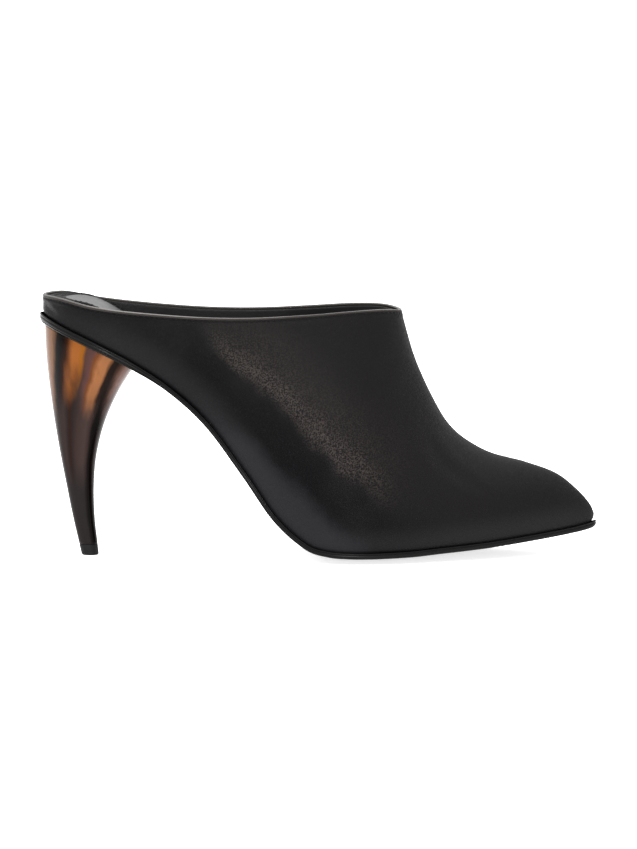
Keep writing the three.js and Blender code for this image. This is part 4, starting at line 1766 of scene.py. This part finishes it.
@dataclass(frozen=True)
class Softbox:
    """One large soft light, aimed at the shoe."""

    name: str
    place: tuple[float, float, float]
    width: float
    height: float
    watts: float

    def hang(self, target: Vector) -> None:
        """Adds the light to the scene.

        Args:
            target: The point it is aimed at.
        """
        data = bpy.data.lights.new(self.name, "AREA")
        data.shape = "RECTANGLE"
        data.size, data.size_y, data.energy = self.width, self.height, self.watts
        lamp = bpy.data.objects.new(self.name, data)
        lamp.location = self.place
        lamp.rotation_euler = (target - Vector(self.place)).to_track_quat("-Z", "Y").to_euler()
        lamp.visible_camera = False
        bpy.context.scene.collection.objects.link(lamp)


@dataclass
class Studio:
    """Pale floor, white surroundings, softboxes and the camera."""

    distance: float = 4.0
    elevation: float = 6.0
    aim_height: float = 0.0524
    view_height: float = 0.3396
    sensor: float = 36.0
    floor_reach: float = 14.0
    wall_light: float = 1.05
    ceiling_light: float = 2.3
    ceiling_from: float = 0.2
    ceiling_to: float = 0.9
    lights: tuple[Softbox, ...] = (
        Softbox("key_softbox", (-0.62, -3.6, 0.42), 0.4, 0.9, 95.0),
        Softbox("rim_softbox", (2.0, 2.0, 1.3), 0.5, 1.2, 8.0),
        Softbox("top_softbox", (0.3, 0.6, 2.4), 1.6, 1.2, 18.0),
    )

    def build(self) -> None:
        """Sets up everything round the shoe."""
        scene = bpy.context.scene
        reach = self.floor_reach
        mesh = bpy.data.meshes.new("floor")
        corners = [(-reach, -reach, 0), (reach, -reach, 0), (reach, reach, 0), (-reach, reach, 0)]
        mesh.from_pydata(corners, [], [(0, 1, 2, 3)])
        mesh.materials.append(PaleFloor().make())
        floor = bpy.data.objects.new("floor", mesh)
        scene.collection.objects.link(floor)
        scene.world = self._white_room()
        target = Vector((0.0, 0.0, self.aim_height))
        for light in self.lights:
            light.hang(target)
        self._place_camera(target)
        scene.view_settings.view_transform = "Standard"

    def _white_room(self) -> bpy.types.World:
        """Makes white walls and a brighter ceiling.

        Returns:
            The world.
        """
        world = bpy.data.worlds.new("white_room")
        sheet = Sheet(world)
        place = sheet.signal("ShaderNodeTexCoord", {}, {}, "Generated")
        light = sheet.signal("ShaderNodeMapRange", {"interpolation_type": "SMOOTHSTEP"}, {
            "Value": place.part("Z"),
            "From Min": self.ceiling_from,
            "From Max": self.ceiling_to,
            "To Min": self.wall_light,
            "To Max": self.ceiling_light,
        })
        room = sheet.signal("ShaderNodeBackground", {}, {"Color": WHITE, "Strength": light})
        sheet.add("ShaderNodeOutputWorld", {}, {"Surface": room})
        return world

    def _place_camera(self, target: Vector) -> None:
        """Puts the camera at the shoe's outer side, a little above it.

        Args:
            target: The point it is aimed at.
        """
        tilt = math.radians(self.elevation)
        data = bpy.data.cameras.new("camera")
        data.sensor_width = self.sensor
        data.lens = self.sensor * self.distance / self.view_height
        camera = bpy.data.objects.new("camera", data)
        back = Vector((0.0, -math.cos(tilt), math.sin(tilt)))
        camera.location = target + back * self.distance
        camera.rotation_euler = (-back).to_track_quat("-Z", "Y").to_euler()
        bpy.context.scene.collection.objects.link(camera)
        bpy.context.scene.camera = camera


@dataclass(frozen=True)
class Dressing:
    """What a piece is finished with, and what it stands for."""

    finishes: tuple
    slot: str
    node: str | None = None

    def apply(self, piece: bpy.types.Object) -> None:
        """Gives the piece its finishes and ties it to the frame.

        Args:
            piece: The piece.
        """
        for finish in self.finishes:
            piece.data.materials.append(finish.make())
        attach(piece, BODY)
        if self.node:
            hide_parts(self.node)
        LOG.info("%s: %d faces", piece.name, len(piece.data.polygons))


# The calf's deep colour also paints shade behind the slanting line, and its paler one paints light in
# front.
CALF = QuarterLeather("calf_leather", shade(4, 4, 5), shade(17, 16, 16), 0.40, 0.035, 0.7)
# The folded edge is the same black calf, painted light grey as a highlight along the rolled rim.
PAINTED_FOLD_HIGHLIGHT = Leather("painted_fold_highlight", shade(56, 54, 53), shade(92, 89, 87), 0.36, 0.4, 0.4, 0.5)
LINING = Leather("lining_leather", shade(18, 18, 18), shade(30, 29, 29), 0.5, 0.16, 0.3, 0.6)
# The footbed's black leather is painted grey, a painted sheen of the pale room.
SOCK_PAINTED_SHEEN = SockLeather("sock_painted_sheen", shade(46, 46, 47), shade(78, 78, 80), 0.42, 0.4, 0.3, 0.6)
INK = EdgeInk("edge_ink", shade(7, 6, 6), 0.30, 0.07)
BOARD = Leather("sole_top", shade(7, 6, 6), shade(12, 11, 11), 0.8, 0.0, 0.3, 0.5)
TREAD = Leather("tread_leather", shade(22, 21, 21), shade(40, 38, 37), 0.55, 0.3, 0.5, 0.5)

TOPLINE_THREAD = Thread("topline_thread", shade(3, 3, 3), shade(12, 11, 11))
SEAT_THREAD = Thread("seat_thread", shade(20, 20, 20), shade(60, 58, 57))


def main() -> None:
    """Builds the shoe piece by piece round its frame, and the studio round the shoe."""
    logging.basicConfig(level=logging.INFO, format="%(name)s: %(message)s")
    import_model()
    last = Last()
    LOG.info("the model stands %.2f mm sideways of its own tables", last.sideways)
    for assembly in (Upper(last), Outsole(last), Footbed(last), Heel(last)):
        assembly.dress(assembly.build())
    Studio().build()
    bpy.context.view_layer.update()


if __name__ == "__main__":
    main()
